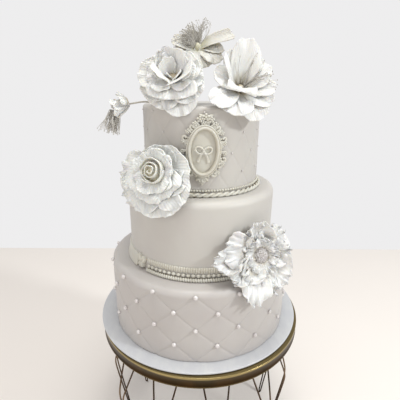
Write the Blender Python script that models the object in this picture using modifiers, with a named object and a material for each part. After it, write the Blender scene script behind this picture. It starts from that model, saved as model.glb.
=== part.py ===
"""Three-tier wedding cake with sugar flowers, on its cake board and its wire stand.

Metres, +Z up. The origin is on the floor, on the axis of the stand, and the front of the cake faces -Y.
Run with: blender --background --python part.py
"""
import math

import bmesh
import bpy
from mathutils import Matrix, Vector

# Fits and facets
GAP = 0.0003                    # space that touching pieces keep
TURN_SEGMENTS = 48              # facets round a tier, the board and the top of the stand

# Stand: a thick metal disc on hairpin legs, each bent out to a shoulder and back in to its foot
STAND_TOP_HEIGHT = 0.2304
STAND_TOP_RADIUS = 0.1518
STAND_TOP_DEPTH = 0.0160
STAND_TOP_EDGE = 0.0012         # rounding of the rim's edges
HAIRPIN_COUNT = 11
HAIRPIN_PHASE = 10.2            # degrees from the front, towards +X
HAIRPIN_WIRE_RADIUS = 0.0012
HAIRPIN_HEAD = (0.1171, 10.5)   # radius, and half the angle between the two wires in degrees
HAIRPIN_SHOULDER = (0.1460, 2.2)
HAIRPIN_SHOULDER_HEIGHT = 0.1240
HAIRPIN_SHOULDER_BEND = 0.0120  # half the height over which the shoulder bends
HAIRPIN_FOOT = (0.1233, 1.05)

# Board and tiers
BOARD_RADIUS = 0.1524
BOARD_THICKNESS = 0.0030
BOARD_CENTRE = (-0.0030, 0.0052)
BOTTOM_TIER_RADIUS, BOTTOM_TIER_HEIGHT, BOTTOM_TIER_SHOULDER = 0.1297, 0.1013, 0.0080
MIDDLE_TIER_RADIUS, MIDDLE_TIER_HEIGHT, MIDDLE_TIER_SHOULDER = 0.1027, 0.1026, 0.0090
TOP_TIER_RADIUS, TOP_TIER_HEIGHT, TOP_TIER_SHOULDER = 0.0781, 0.1076, 0.0055
BOTTOM_TIER_SHIFT = -0.0012     # the bottom tier stands a little to the left of the others

# Piped and moulded borders
ROPE_RADIUS = 0.0028            # rope at the foot of the middle tier
TOP_ROPE_RADIUS = 0.0024        # rope at the foot of the top tier
BAND_HEIGHT, BAND_DEPTH = 0.0072, 0.0030
BAND_EDGE = 0.0016              # rounding of the band's two edges
BAND_LIFT = 0.0111              # underside of the ribbed band above the ledge
RIBBON_HEIGHT = 0.0180
RIBBON_SECTION = (              # distance from the wall and height of the ribbon's corners
    (0.0, 0.0), (0.0050, 0.0), (0.0052, 0.0022), (0.0030, RIBBON_HEIGHT - 0.0010), (0.0, RIBBON_HEIGHT),
)
ROSETTE_BEARING = -48.0         # degrees from the front, towards +X
BORDER_END_BEARING = 180.0
ROSETTE_HALF_ANGLE = 6.0
ROSETTE_HALF_WIDTH, ROSETTE_HALF_HEIGHT, ROSETTE_DEPTH = 0.0090, 0.0092, 0.0070
ROSETTE_LIFT = 0.0012

# Cameo: an oval frame with scrollwork round it, wrapped on the top tier
CAMEO_BEARING, CAMEO_HEIGHT = 2.0, 0.4948
CAMEO_HALF_WIDTH, CAMEO_HALF_HEIGHT = 0.0192, 0.0302    # outside of the oval moulding
CAMEO_MOULDING, CAMEO_RELIEF = 0.0043, 0.0055
CAMEO_SEAT = 0.0008             # space behind the cameo, whose flat facets cut across the curve of the wall
CAMEO_EDGE = 0.0022             # the scrollwork's reach between its lobes
CAMEO_LOBES = (                 # angle of each lobe, its half width in degrees, its reach past the oval
    (90.0, 34.0, 0.0123), (270.0, 30.0, 0.0096),
    (10.0, 34.0, 0.0094), (172.0, 34.0, 0.0094), (370.0, 34.0, 0.0094),
)
PLAQUE_LAYERS = ((0.6, 0.0), (1.0, 0.0), (1.0, 0.0008), (0.6, 0.0013))    # share of the oval, and height
PLAQUE_ENDS = (0.0, 0.0015)
BOW_LAYERS = ((1.0, 0.0018), (0.86, 0.0034), (0.45, 0.0046))
BOW_ENDS = (0.0019, 0.0050)
BOW_KNOT, BOW_LOOP, BOW_TAIL = 0.0030, 0.0068, 0.0064

# Sugar flowers
PETAL_THICKNESS = 0.0016
PETAL_ROOT = 0.0060             # petals start this far from the flower's axis, inside its heart
FLOWER_WIRE_RADIUS = 0.0012

BOARD_TOP = STAND_TOP_HEIGHT + GAP + BOARD_THICKNESS
BOTTOM_TIER_FOOT = BOARD_TOP + GAP
MIDDLE_TIER_FOOT = BOTTOM_TIER_FOOT + BOTTOM_TIER_HEIGHT + GAP
TOP_TIER_FOOT = MIDDLE_TIER_FOOT + MIDDLE_TIER_HEIGHT + GAP
CAKE_TOP = TOP_TIER_FOOT + TOP_TIER_HEIGHT


def clear_scene():
    for thing in list(bpy.data.objects):
        bpy.data.objects.remove(thing, do_unlink=True)


clear_scene()
PARTS = bpy.data.collections.new("tiered_wedding_cake")
CUTTERS = bpy.data.collections.new("cutters")
bpy.context.scene.collection.children.link(PARTS)
bpy.context.scene.collection.children.link(CUTTERS)


def make_material(name, colour, roughness, metallic=0.0):
    material = bpy.data.materials.new(name)
    material.use_nodes = True
    shader = material.node_tree.nodes["Principled BSDF"]
    shader.inputs["Base Color"].default_value = (*colour, 1.0)
    shader.inputs["Roughness"].default_value = roughness
    shader.inputs["Metallic"].default_value = metallic
    return material


FONDANT = make_material("ivory_fondant", (0.78, 0.75, 0.68), 0.55)
SUGAR_PETAL = make_material("pearl_sugar_petal", (0.86, 0.86, 0.83), 0.38)
SUGAR_MOULDING = make_material("sugar_moulding", (0.83, 0.81, 0.72), 0.5)
STAMEN = make_material("pearl_stamen", (0.62, 0.60, 0.55), 0.4)
BOARD_FOIL = make_material("white_board_foil", (0.80, 0.82, 0.84), 0.4)
ANTIQUE_BRASS = make_material("antique_brass", (0.17, 0.11, 0.045), 0.35, 1.0)


def add_object(name, data, material, collection=PARTS):
    thing = bpy.data.objects.new(name, data)
    data.materials.append(material)
    collection.objects.link(thing)
    return thing


def add_body(name, body, material, collection=PARTS):
    """Adds the object that a bmesh describes, with its normals outwards."""
    bmesh.ops.recalc_face_normals(body, faces=body.faces)
    mesh = bpy.data.meshes.new(name)
    body.to_mesh(mesh)
    body.free()
    return add_object(name, mesh, material, collection)


def hide_as_cutter(thing):
    thing.hide_render = True
    thing.display_type = "WIRE"


def turned(name, profile, material, centre=(0.0, 0.0), collection=PARTS):
    """A profile of (radius, height) points, listed from the top down, turned about +Z."""
    mesh = bpy.data.meshes.new(name)
    points = [(radius, 0.0, height) for radius, height in profile]
    mesh.from_pydata(points, [(i, i + 1) for i in range(len(points) - 1)], [])
    thing = add_object(name, mesh, material, collection)
    thing.location = (centre[0], centre[1], 0.0)
    screw = thing.modifiers.new("turn", "SCREW")
    screw.axis = "Z"
    screw.steps = screw.render_steps = TURN_SEGMENTS
    screw.use_merge_vertices = True
    screw.merge_threshold = 0.00001
    screw.use_smooth_shade = True
    return thing


def loft(name, rings, material, closed=False, collection=PARTS):
    """A solid through rings of equal point count. closed joins the last ring to the first."""
    body = bmesh.new()
    rows = [[body.verts.new(point) for point in ring] for ring in rings]
    count = len(rows[0])
    pairs = list(zip(rows, rows[1:] + rows[:1])) if closed else list(zip(rows, rows[1:]))
    for near, far in pairs:
        for i in range(count):
            j = (i + 1) % count
            body.faces.new((near[i], near[j], far[j], far[i]))
    if not closed:
        body.faces.new(rows[0])
        body.faces.new(rows[-1])
    bmesh.ops.recalc_face_normals(body, faces=body.faces)
    mesh = bpy.data.meshes.new(name)
    body.to_mesh(mesh)
    body.free()
    return add_object(name, mesh, material, collection)


def on_wall(bearing, radius, height):
    """A point at a bearing in degrees from the front, towards +X."""
    angle = math.radians(bearing)
    return (radius * math.sin(angle), -radius * math.cos(angle), height)


# Stand -----------------------------------------------------------------------------------------

def make_stand_top():
    top, bottom, edge = STAND_TOP_HEIGHT, STAND_TOP_HEIGHT - STAND_TOP_DEPTH, STAND_TOP_EDGE
    radius = STAND_TOP_RADIUS
    profile = [
        (0.0, top), (radius - edge, top), (radius, top - edge),
        (radius, bottom + edge), (radius - edge, bottom), (0.0, bottom),
    ]
    turned("stand_top", profile, ANTIQUE_BRASS)


def hairpin_points(bearing):
    """One wire from under the disc out to the shoulder, in to the foot, round it and back up."""
    head = STAND_TOP_HEIGHT - STAND_TOP_DEPTH - GAP - 0.5 * HAIRPIN_WIRE_RADIUS
    sole = 0.75 * HAIRPIN_WIRE_RADIUS   # the foot's lowest facets lie on the floor
    shoulder, bend = HAIRPIN_SHOULDER_HEIGHT, HAIRPIN_SHOULDER_BEND
    head_radius, head_angle = HAIRPIN_HEAD
    out_radius, out_angle = HAIRPIN_SHOULDER
    foot_radius, foot_angle = HAIRPIN_FOOT
    rise = bend / (head - shoulder)
    fall = bend / (shoulder - sole)
    half = [
        (head_radius, head_angle, head),
        (out_radius + (head_radius - out_radius) * rise, out_angle + (head_angle - out_angle) * rise,
         shoulder + bend),
        (out_radius + (foot_radius - out_radius) * fall, out_angle, shoulder - bend),
        (foot_radius, foot_angle, sole + 0.003),
        (foot_radius, foot_angle * 0.5, sole),
    ]
    down = [on_wall(bearing - angle, radius, height) for radius, angle, height in half]
    up = [on_wall(bearing + angle, radius, height) for radius, angle, height in reversed(half)]
    return down + up


def wire(name, points, radius, material, resolution=1):
    curve = bpy.data.curves.new(name, "CURVE")
    curve.dimensions = "3D"
    curve.bevel_depth = radius
    curve.bevel_resolution = resolution
    curve.use_fill_caps = True
    spline = curve.splines.new("POLY")
    spline.points.add(len(points) - 1)
    for spot, point in zip(spline.points, points):
        spot.co = (*point, 1.0)
    return add_object(name, curve, material)


def make_hairpins():
    for number in range(HAIRPIN_COUNT):
        bearing = HAIRPIN_PHASE + 360.0 * number / HAIRPIN_COUNT
        wire(f"stand_hairpin_{number + 1:02d}", hairpin_points(bearing), HAIRPIN_WIRE_RADIUS, ANTIQUE_BRASS)


# Board and tiers -------------------------------------------------------------------------------

def make_board():
    bottom = STAND_TOP_HEIGHT + GAP
    profile = [(0.0, BOARD_TOP), (BOARD_RADIUS, BOARD_TOP), (BOARD_RADIUS, bottom), (0.0, bottom)]
    turned("cake_board", profile, BOARD_FOIL, BOARD_CENTRE)


def tier_profile(radius, foot, height, shoulder, grow=0.0):
    """A tier's outline from its top centre down, with a rounded shoulder. grow offsets it outwards."""
    top = foot + height
    arc = [math.radians(angle) for angle in (90, 45, 0)]
    corner = [
        (radius - shoulder + (shoulder + grow) * math.cos(angle),
         top - shoulder + (shoulder + grow) * math.sin(angle))
        for angle in arc
    ]
    return [(0.0, top + grow), *corner, (radius + grow, foot - grow), (0.0, foot - grow)]


TIERS = {
    "tier_bottom": (BOTTOM_TIER_RADIUS, BOTTOM_TIER_FOOT, BOTTOM_TIER_HEIGHT, BOTTOM_TIER_SHOULDER),
    "tier_middle": (MIDDLE_TIER_RADIUS, MIDDLE_TIER_FOOT, MIDDLE_TIER_HEIGHT, MIDDLE_TIER_SHOULDER),
    "tier_top": (TOP_TIER_RADIUS, TOP_TIER_FOOT, TOP_TIER_HEIGHT, TOP_TIER_SHOULDER),
}
CLEARANCES = {}


def turned_clearance(name, profile, centre=(0.0, 0.0)):
    """A cutter that keeps the flowers off a tier or off the borders at its foot."""
    cutter = turned(name + "_clearance", profile, FONDANT, centre, CUTTERS)
    hide_as_cutter(cutter)
    CLEARANCES[name] = cutter


def make_tiers():
    for name, sizes in TIERS.items():
        centre = (BOTTOM_TIER_SHIFT if name == "tier_bottom" else 0.0, 0.0)
        turned(name, tier_profile(*sizes), FONDANT, centre)
        turned_clearance(name, tier_profile(*sizes, grow=2 * GAP), centre)


# Borders ---------------------------------------------------------------------------------------

def twisted_rope(name, wall_radius, rope_radius, foot, stations, turns, start=0.0, end=360.0, rise=1.0):
    """A rope of square section that twists as it goes round a tier's foot, with its corners rounded off."""
    whole = end - start >= 360.0
    sides = 6
    middle = wall_radius + GAP + rope_radius
    rings = []
    for i in range(stations + (0 if whole else 1)):
        share = i / stations
        bearing = start + (end - start) * share
        twist = 2 * math.pi * turns * share
        ring = []
        for k in range(sides):
            angle = twist + 2 * math.pi * k / sides
            reach = rope_radius * (1.0 if k % 2 == 0 else 0.84)
            ring.append(on_wall(bearing, middle + reach * math.cos(angle),
                                foot + rope_radius * rise + reach * rise * math.sin(angle)))
        rings.append(ring)
    return loft(name, rings, SUGAR_MOULDING, closed=whole)


def ribbed_band():
    """A strap that stands on the wall of the middle tier, its face pleated into ribs."""
    start = ROSETTE_BEARING + ROSETTE_HALF_ANGLE
    stations = 46
    inner = MIDDLE_TIER_RADIUS + GAP
    low = MIDDLE_TIER_FOOT + BAND_LIFT
    rings = []
    for i in range(stations + 1):
        bearing = start + (BORDER_END_BEARING - start) * i / stations
        crest = BAND_DEPTH * (1.0 if i % 2 == 0 else 0.8)
        rings.append([
            on_wall(bearing, inner, low),
            on_wall(bearing, inner + crest, low + BAND_EDGE),
            on_wall(bearing, inner + crest, low + BAND_HEIGHT - BAND_EDGE),
            on_wall(bearing, inner, low + BAND_HEIGHT),
        ])
    loft("border_ribbed_band", rings, SUGAR_MOULDING)


def plain_ribbon():
    """A smooth flat ribbon from the rosette round the left side to the back, wider at its foot."""
    start = ROSETTE_BEARING - ROSETTE_HALF_ANGLE
    end = BORDER_END_BEARING - 360.0 + 1.0
    stations = 20
    inner = MIDDLE_TIER_RADIUS + GAP
    bearings = [start + (end - start) * i / stations for i in range(stations + 1)]
    rings = [[on_wall(bearing, inner + out, MIDDLE_TIER_FOOT + up) for out, up in RIBBON_SECTION]
             for bearing in bearings]
    loft("border_plain_ribbon", rings, SUGAR_MOULDING)


def rosette():
    """A folded knot of icing between the ribbon and the borders: three plump folds round a small eye."""
    body = bmesh.new()
    bmesh.ops.create_uvsphere(body, u_segments=12, v_segments=7, radius=1.0)
    inner = MIDDLE_TIER_RADIUS + 2 * GAP
    middle = MIDDLE_TIER_FOOT + ROSETTE_LIFT + ROSETTE_HALF_HEIGHT
    for vert in body.verts:
        x, y, z = vert.co
        fold = 1.0 + 0.14 * math.cos(3.0 * (math.atan2(z, x) - 0.5))
        eye = 1.0 - 0.25 * math.exp(-(x * x + z * z) / 0.08)
        bearing = ROSETTE_BEARING + math.degrees(ROSETTE_HALF_WIDTH * x * fold / inner)
        out = ROSETTE_DEPTH * (0.5 - 0.5 * y) * eye
        vert.co = on_wall(bearing, inner + out, middle + ROSETTE_HALF_HEIGHT * z * fold)
    add_body("border_rosette", body, SUGAR_MOULDING)


def collar(radius, low, high):
    """The outline of a solid ring of space round a tier's foot."""
    return [(0.0, high), (radius, high), (radius, low), (0.0, low)]


def make_borders():
    start = ROSETTE_BEARING + ROSETTE_HALF_ANGLE
    turned_clearance("border_middle", collar(
        MIDDLE_TIER_RADIUS + 2 * ROPE_RADIUS + 3 * GAP, MIDDLE_TIER_FOOT - 2 * GAP,
        MIDDLE_TIER_FOOT + BAND_LIFT + BAND_HEIGHT + GAP))
    turned_clearance("border_top", collar(
        TOP_TIER_RADIUS + 2 * TOP_ROPE_RADIUS + 2 * GAP, TOP_TIER_FOOT - 2 * GAP,
        TOP_TIER_FOOT + 2.3 * TOP_ROPE_RADIUS + GAP))
    ribbed_band()
    twisted_rope("border_rope_middle", MIDDLE_TIER_RADIUS, ROPE_RADIUS, MIDDLE_TIER_FOOT, 46, 9,
                 start, BORDER_END_BEARING)
    twisted_rope("border_rope_top", TOP_TIER_RADIUS, TOP_ROPE_RADIUS, TOP_TIER_FOOT, 46, 11, rise=1.15)
    plain_ribbon()
    rosette()


# Cameo -----------------------------------------------------------------------------------------

def on_top_tier(across, up, out):
    """A point on the wall of the top tier, measured from the middle of the cameo."""
    bearing = CAMEO_BEARING + math.degrees(across / TOP_TIER_RADIUS)
    return on_wall(bearing, TOP_TIER_RADIUS + CAMEO_SEAT + out, CAMEO_HEIGHT + up)


def scroll_reach(angle):
    """How far the scrollwork stands past the oval at an angle, 0 to the right and 90 degrees up."""
    degrees = math.degrees(angle)
    return CAMEO_EDGE + sum(reach * math.exp(-((degrees - middle) / half) ** 2)
                            for middle, half, reach in CAMEO_LOBES)


def on_oval(offset, angle, out):
    """A point on the cameo at an offset from the outside of its oval moulding."""
    return on_top_tier((CAMEO_HALF_WIDTH + offset) * math.cos(angle),
                       (CAMEO_HALF_HEIGHT + offset) * math.sin(angle), out)


def make_cameo_frame():
    """The oval moulding and the lobed scrollwork round it, as one ring."""
    stations = 40
    rings = []
    for i in range(stations):
        angle = 2 * math.pi * i / stations
        reach = scroll_reach(angle) * (1.0 if i % 2 == 0 else 0.80)
        crest = CAMEO_RELIEF
        section = [
            (-CAMEO_MOULDING, 0.0), (-CAMEO_MOULDING, crest * 0.55), (-CAMEO_MOULDING * 0.5, crest),
            (0.0, crest * 0.45), (reach * 0.6, crest * (0.62 if i % 2 == 0 else 0.4)), (reach, 0.0),
        ]
        rings.append([on_oval(offset, angle, out) for offset, out in section])
    loft("cameo_frame", rings, SUGAR_MOULDING, closed=True)


def cameo_clearance():
    """A cutter round the whole cameo, which keeps the rose off it."""
    stations = 32
    angles = [2 * math.pi * i / stations for i in range(stations)]
    rings = [[on_oval(scroll_reach(angle) + 2 * GAP, angle, out) for angle in angles]
             for out in (-0.002, CAMEO_RELIEF + 2 * GAP)]
    cutter = loft("cameo_clearance", rings, FONDANT, collection=CUTTERS)
    hide_as_cutter(cutter)
    CLEARANCES["cameo"] = cutter


def cushion(name, outline, layers, ends):
    """A low raised shape on the cameo: an outline at several shares and heights, closed by two end points."""
    body = bmesh.new()
    rings = [[body.verts.new(on_top_tier(across * share, up * share, out)) for across, up in outline]
             for share, out in layers]
    back, front = (body.verts.new(on_top_tier(0.0, 0.0, out)) for out in ends)
    for i in range(len(outline)):
        j = (i + 1) % len(outline)
        body.faces.new((back, rings[0][j], rings[0][i]))
        for low, high in zip(rings, rings[1:]):
            body.faces.new((low[i], low[j], high[j], high[i]))
        body.faces.new((rings[-1][i], rings[-1][j], front))
    return add_body(name, body, SUGAR_MOULDING)


def make_cameo_plaque():
    """The smooth oval ground inside the frame, slightly domed."""
    stations = 24
    half_width = CAMEO_HALF_WIDTH - CAMEO_MOULDING - GAP * 2
    half_height = CAMEO_HALF_HEIGHT - CAMEO_MOULDING - GAP * 2
    angles = [2 * math.pi * i / stations for i in range(stations)]
    outline = [(half_width * math.cos(angle), half_height * math.sin(angle)) for angle in angles]
    cushion("cameo_plaque", outline, PLAQUE_LAYERS, PLAQUE_ENDS)


def make_cameo_bow():
    """A small ribbon bow in relief on the plaque: two loops, two tails and a knot in one piece."""
    stations = 28
    outline = []
    for angle in (2 * math.pi * i / stations for i in range(stations)):
        tails = sum(math.exp(-((math.degrees(angle) - middle) / 16.0) ** 2) for middle in (245.0, 295.0))
        reach = BOW_KNOT + BOW_LOOP * abs(math.cos(angle)) ** 0.8 + BOW_TAIL * tails
        outline.append((reach * math.cos(angle), 0.9 * reach * math.sin(angle)))
    cushion("cameo_bow", outline, BOW_LAYERS, BOW_ENDS)


# Flowers ---------------------------------------------------------------------------------------

def facing(base, axis):
    """A flower's frame: its local z runs along its axis, its local y points up as seen from the front."""
    forward = Vector(axis).normalized()
    right = (Vector((1.0, 0.0, 0.0)) - forward * forward.x).normalized()
    up = forward.cross(right)
    frame = Matrix((right, up, forward)).transposed().to_4x4()
    frame.translation = Vector(base)
    return frame


def petal_point(petal, across, along):
    """A petal rises from the flower's foot and leans out from angle lean to angle fall as it goes.

    across runs from -1 to 1 and along from 0 to 1.
    """
    lean, fall = math.radians(petal["lean"]), math.radians(petal["fall"])
    turn = fall - lean if abs(fall - lean) > 0.01 else 0.01
    angle = lean + turn * along
    length = petal["length"]
    out = PETAL_ROOT + length * (math.cos(lean) - math.cos(angle)) / turn
    rise = length * (math.sin(angle) - math.sin(lean)) / turn
    stretch = 0.06 + 0.90 * along
    half = 0.5 * petal["width"] * max(0.0, 1.0 - abs(2.0 * stretch ** 1.35 - 1.0) ** 2.6) ** (1 / 2.6)
    side = across * half
    ripple = petal["ripple"] * along ** 2 * math.sin(petal["waves"] * math.pi * across + petal["phase"])
    lift = petal["cup"] * across ** 2 * half + ripple
    out -= lift * math.cos(angle)
    rise += lift * math.sin(angle)
    bearing = math.radians(petal["bearing"])
    return Vector((out * math.cos(bearing) - side * math.sin(bearing),
                   out * math.sin(bearing) + side * math.cos(bearing), rise))


def petal_leaf(name, petal):
    """One closed petal: a grid bent by petal_point and thickened."""
    sheet = bmesh.new()
    bmesh.ops.create_grid(sheet, x_segments=petal["columns"], y_segments=3, size=1.0)
    for vert in sheet.verts:
        vert.co = petal_point(petal, vert.co.x, 0.5 + 0.5 * vert.co.y)
    bmesh.ops.solidify(sheet, geom=sheet.faces[:], thickness=PETAL_THICKNESS)
    return add_body(name, sheet, SUGAR_PETAL, CUTTERS)


def petal(bearing, length, width, lean, fall, cup=0.25, ripple=0.0, waves=3.0, columns=3):
    """A petal's sizes: bearing 0 is to the right and 90 is up, seen from the front of the flower."""
    return dict(bearing=bearing, length=length, width=width, lean=lean, fall=fall, cup=cup,
                ripple=ripple, waves=waves, phase=0.03 * bearing, columns=columns)


def ring_of(count, bearing, lean, **shape):
    """Petals round the flower in a slow spiral, each leaning out a little more than the one before."""
    return [petal(bearing + 360.0 * i / count, lean=lean + 3.0 * i, **shape) for i in range(count)]


def join_to(thing, others):
    """Joins shapes to a piece one by one, and hides them."""
    for other in others:
        hide_as_cutter(other)
        join = thing.modifiers.new("with " + other.name, "BOOLEAN")
        join.operation, join.object, join.solver = "UNION", other, "EXACT"


def flower(name, base, axis, petals, heart, cut_by, extras=()):
    """Petals joined one by one to a heart, clear of the tiers that they lean on."""
    frame = facing(base, axis)
    core = bmesh.new()
    bmesh.ops.create_uvsphere(core, u_segments=8, v_segments=5, radius=1.0)
    radius, length, centre = heart
    for vert in core.verts:
        vert.co = Vector((vert.co.x * radius, vert.co.y * radius, vert.co.z * length + centre))
    thing = add_body(name, core, SUGAR_PETAL)
    thing.matrix_world = frame
    joined = []
    for number, sizes in enumerate(petals):
        leaf = petal_leaf(f"{name}_petal_{number + 1:02d}", sizes)
        leaf.matrix_world = frame
        joined.append(leaf)
    join_to(thing, joined + list(extras))
    for space in cut_by:
        trim = thing.modifiers.new("clear of " + space, "BOOLEAN")
        trim.operation, trim.object, trim.solver = "DIFFERENCE", CLEARANCES[space], "EXACT"
    keep_main_body(thing)
    return thing


def keep_main_body(thing):
    """Applies the modifiers and drops the crumbs that the cuts leave beside the main body."""
    bpy.context.view_layer.update()
    graph = bpy.context.evaluated_depsgraph_get()
    mesh = bpy.data.meshes.new_from_object(thing.evaluated_get(graph))
    body = bmesh.new()
    body.from_mesh(mesh)
    bmesh.ops.remove_doubles(body, verts=body.verts, dist=0.000002)
    bmesh.ops.dissolve_degenerate(body, edges=body.edges, dist=0.000002)
    islands, seen = [], set()
    for start in body.verts:
        if start in seen:
            continue
        stack, island = [start], []
        seen.add(start)
        while stack:
            vert = stack.pop()
            island.append(vert)
            for edge in vert.link_edges:
                other = edge.other_vert(vert)
                if other not in seen:
                    seen.add(other)
                    stack.append(other)
        islands.append(island)
    islands.sort(key=len)
    for island in islands[:-1]:
        bmesh.ops.delete(body, geom=island, context="VERTS")
    body.to_mesh(mesh)
    body.free()
    thing.modifiers.clear()
    thing.data = mesh


def flower_post(name, x, y, top):
    """The wire that carries a flower, from the cake's top to the flower's heart."""
    return make_tuft(name, (x, y, CAKE_TOP + GAP), (x, y, top), 0.0020, 0.0024, collection=CUTTERS)


def make_peony():
    petals = [
        petal(172, 0.038, 0.042, 56, 90),
        petal(214, 0.037, 0.038, 62, 104),
        petal(262, 0.041, 0.044, 62, 114),
        petal(312, 0.038, 0.040, 66, 106),
        petal(355, 0.033, 0.038, 56, 88),
        petal(48, 0.032, 0.038, 46, 74),
        petal(115, 0.037, 0.032, 36, 44),
    ]
    petals += ring_of(4, 30, length=0.030, width=0.026, lean=20, fall=6, columns=2)
    post = flower_post("flower_peony_post", -0.0321, -0.0500, 0.5700)
    flower("flower_peony", (-0.0325, -0.0570, 0.5700), (-0.06, -0.83, 0.56), petals,
           (0.0115, 0.0125, 0.004), ["tier_top"], [post])


def make_magnolia():
    petals = [
        petal(88, 0.054, 0.043, 22, 52),
        petal(42, 0.042, 0.040, 34, 72),
        petal(2, 0.040, 0.038, 48, 92),
        petal(132, 0.044, 0.032, 30, 52),
        petal(176, 0.036, 0.032, 48, 86),
        petal(216, 0.047, 0.027, 60, 124),
        petal(254, 0.041, 0.044, 62, 112),
        petal(304, 0.044, 0.040, 66, 116),
        petal(262, 0.030, 0.036, 18, 62),
    ]
    stamens = make_tuft("flower_magnolia_stamens", (0.0480, -0.0560, 0.5680), (0.0740, -0.0580, 0.5870),
                        0.0030, 0.0100, collection=CUTTERS)
    flower("flower_magnolia", (0.0450, -0.0480, 0.5600), (0.20, -0.66, 0.72), petals,
           (0.0105, 0.0120, 0.003), ["tier_top"], [stamens])


def make_lily():
    petals = [
        petal(158, 0.030, 0.030, 50, 80, ripple=0.0025),
        petal(14, 0.045, 0.022, 56, 82),
        petal(336, 0.034, 0.026, 63, 98),
        petal(292, 0.031, 0.026, 66, 116),
        petal(250, 0.025, 0.024, 64, 112),
        petal(204, 0.026, 0.024, 64, 98),
    ]
    base = Vector((-0.0055, -0.0240, 0.6105))
    stamens = [
        make_tuft("flower_lily_plume", base, (0.0135, -0.0330, 0.6420), 0.0020, 0.0060, collection=CUTTERS),
        make_tuft("flower_lily_brush", base, (-0.0180, -0.0300, 0.6300), 0.0024, 0.0080, collection=CUTTERS),
    ]
    flower("flower_lily", base, (0.03, -0.66, 0.75), petals, (0.0080, 0.0085, 0.002), [], stamens)
    foot = Vector((-0.0140, -0.0200, CAKE_TOP + GAP))
    points = [foot, foot + Vector((0.003, 0.001, 0.028)), base + Vector((-0.0002, 0.0054, -0.0062))]
    wire("flower_lily_stem", points, FLOWER_WIRE_RADIUS, SUGAR_MOULDING)


def make_tuft(name, root, tip, root_radius, tip_radius, bend=(0.0, 0.0, 0.0), collection=PARTS):
    """The outer form of a bundle of stamens, splayed towards its tip."""
    root, tip, bend = Vector(root), Vector(tip), Vector(bend)
    along = (tip - root).normalized()
    side = along.orthogonal().normalized()
    other = along.cross(side)
    rings = []
    for share, swell in ((0.0, 0.0), (0.5, 0.6), (0.9, 1.0), (1.0, 0.55)):
        radius = root_radius + (tip_radius - root_radius) * swell
        middle = root.lerp(tip, share) + bend * math.sin(math.pi * share)
        rings.append([
            middle + (side * math.cos(math.pi * k / 3) + other * math.sin(math.pi * k / 3)) * radius
            for k in range(6)
        ])
    return loft(name, rings, STAMEN, collection=collection)


def make_bud():
    """A bell-shaped bud on a bent wire, with a fringe of stamens hanging from its mouth."""
    neck, mouth = Vector((-0.0862, -0.0552, 0.5470)), Vector((-0.1050, -0.0605, 0.5405))
    along = (mouth - neck).normalized()
    side = along.cross(Vector((0.0, 0.0, 1.0))).normalized()
    up = side.cross(along)
    profile = [(0.0, 0.0016), (0.12, 0.0045), (0.35, 0.0082), (0.7, 0.0090), (1.0, 0.0104)]
    count = 12
    rings = []
    for share, radius in profile:
        lobes = 1.0 + 0.14 * share * share
        rings.append([
            neck.lerp(mouth, share)
            + (side * math.cos(2 * math.pi * k / count) + up * math.sin(2 * math.pi * k / count))
            * radius * (lobes if k % 2 == 0 else 2.0 - lobes)
            for k in range(count)
        ])
    bud = loft("flower_bud", rings, SUGAR_PETAL)
    fringe = make_tuft("flower_bud_fringe", mouth - along * 0.0030, (-0.1085, -0.0620, 0.5160),
                       0.0045, 0.0090, (-0.003, 0.0, 0.002), CUTTERS)
    join_to(bud, [fringe])
    keep_main_body(bud)
    wire("flower_bud_stem", [
        (-0.0420, -0.0330, CAKE_TOP + 0.0018), (-0.0560, -0.0430, CAKE_TOP + 0.0022),
        (-0.0700, -0.0510, CAKE_TOP + 0.0030), (-0.0857, -0.0549, 0.5472),
    ], FLOWER_WIRE_RADIUS, SUGAR_MOULDING)


def make_rose():
    petals = [
        petal(188, 0.050, 0.046, 62, 92, ripple=0.002),
        petal(230, 0.052, 0.044, 70, 97, ripple=0.002),
        petal(274, 0.050, 0.050, 60, 96, ripple=0.002),
        petal(320, 0.048, 0.044, 66, 94, ripple=0.002),
        petal(8, 0.040, 0.042, 58, 88, ripple=0.002),
        petal(68, 0.032, 0.040, 62, 80, ripple=0.002),
        petal(124, 0.033, 0.044, 56, 78, ripple=0.002),
    ]
    petals += ring_of(4, 40, length=0.028, width=0.026, lean=24, fall=60, cup=0.3, columns=2)
    flower("flower_rose", (-0.0484, -0.0752, 0.4687), (-0.40, -0.86, 0.33), petals,
           (0.0125, 0.0190, 0.0055), ["tier_top", "tier_middle", "border_top", "cameo"])


def make_bloom():
    """A wide bloom of ruffled petals that leans on the middle tier."""
    ruffle = dict(cup=0.10, ripple=0.0045, waves=3.5, columns=4)
    petals = [
        petal(166, 0.054, 0.040, 52, 72, **ruffle),
        petal(189, 0.060, 0.036, 82, 97, **ruffle),
        petal(108, 0.040, 0.034, 50, 68, **ruffle),
        petal(44, 0.041, 0.034, 66, 86, **ruffle),
        petal(2, 0.044, 0.032, 52, 90, **ruffle),
        petal(312, 0.056, 0.044, 58, 80, **ruffle),
        petal(213, 0.050, 0.034, 40, 58, **ruffle),
        petal(246, 0.064, 0.036, 62, 85, **ruffle),
    ]
    flower("flower_bloom", (0.0673, -0.0828, 0.3639), (0.50, -0.82, 0.28), petals,
           (0.0130, 0.0150, 0.006), ["tier_middle", "tier_bottom", "border_middle"])


def main():
    make_stand_top()
    make_hairpins()
    make_board()
    make_tiers()
    make_borders()
    make_cameo_frame()
    cameo_clearance()
    make_cameo_plaque()
    make_cameo_bow()
    make_peony()
    make_magnolia()
    make_lily()
    make_bud()
    make_rose()
    make_bloom()


main()
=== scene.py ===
import math

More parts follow.
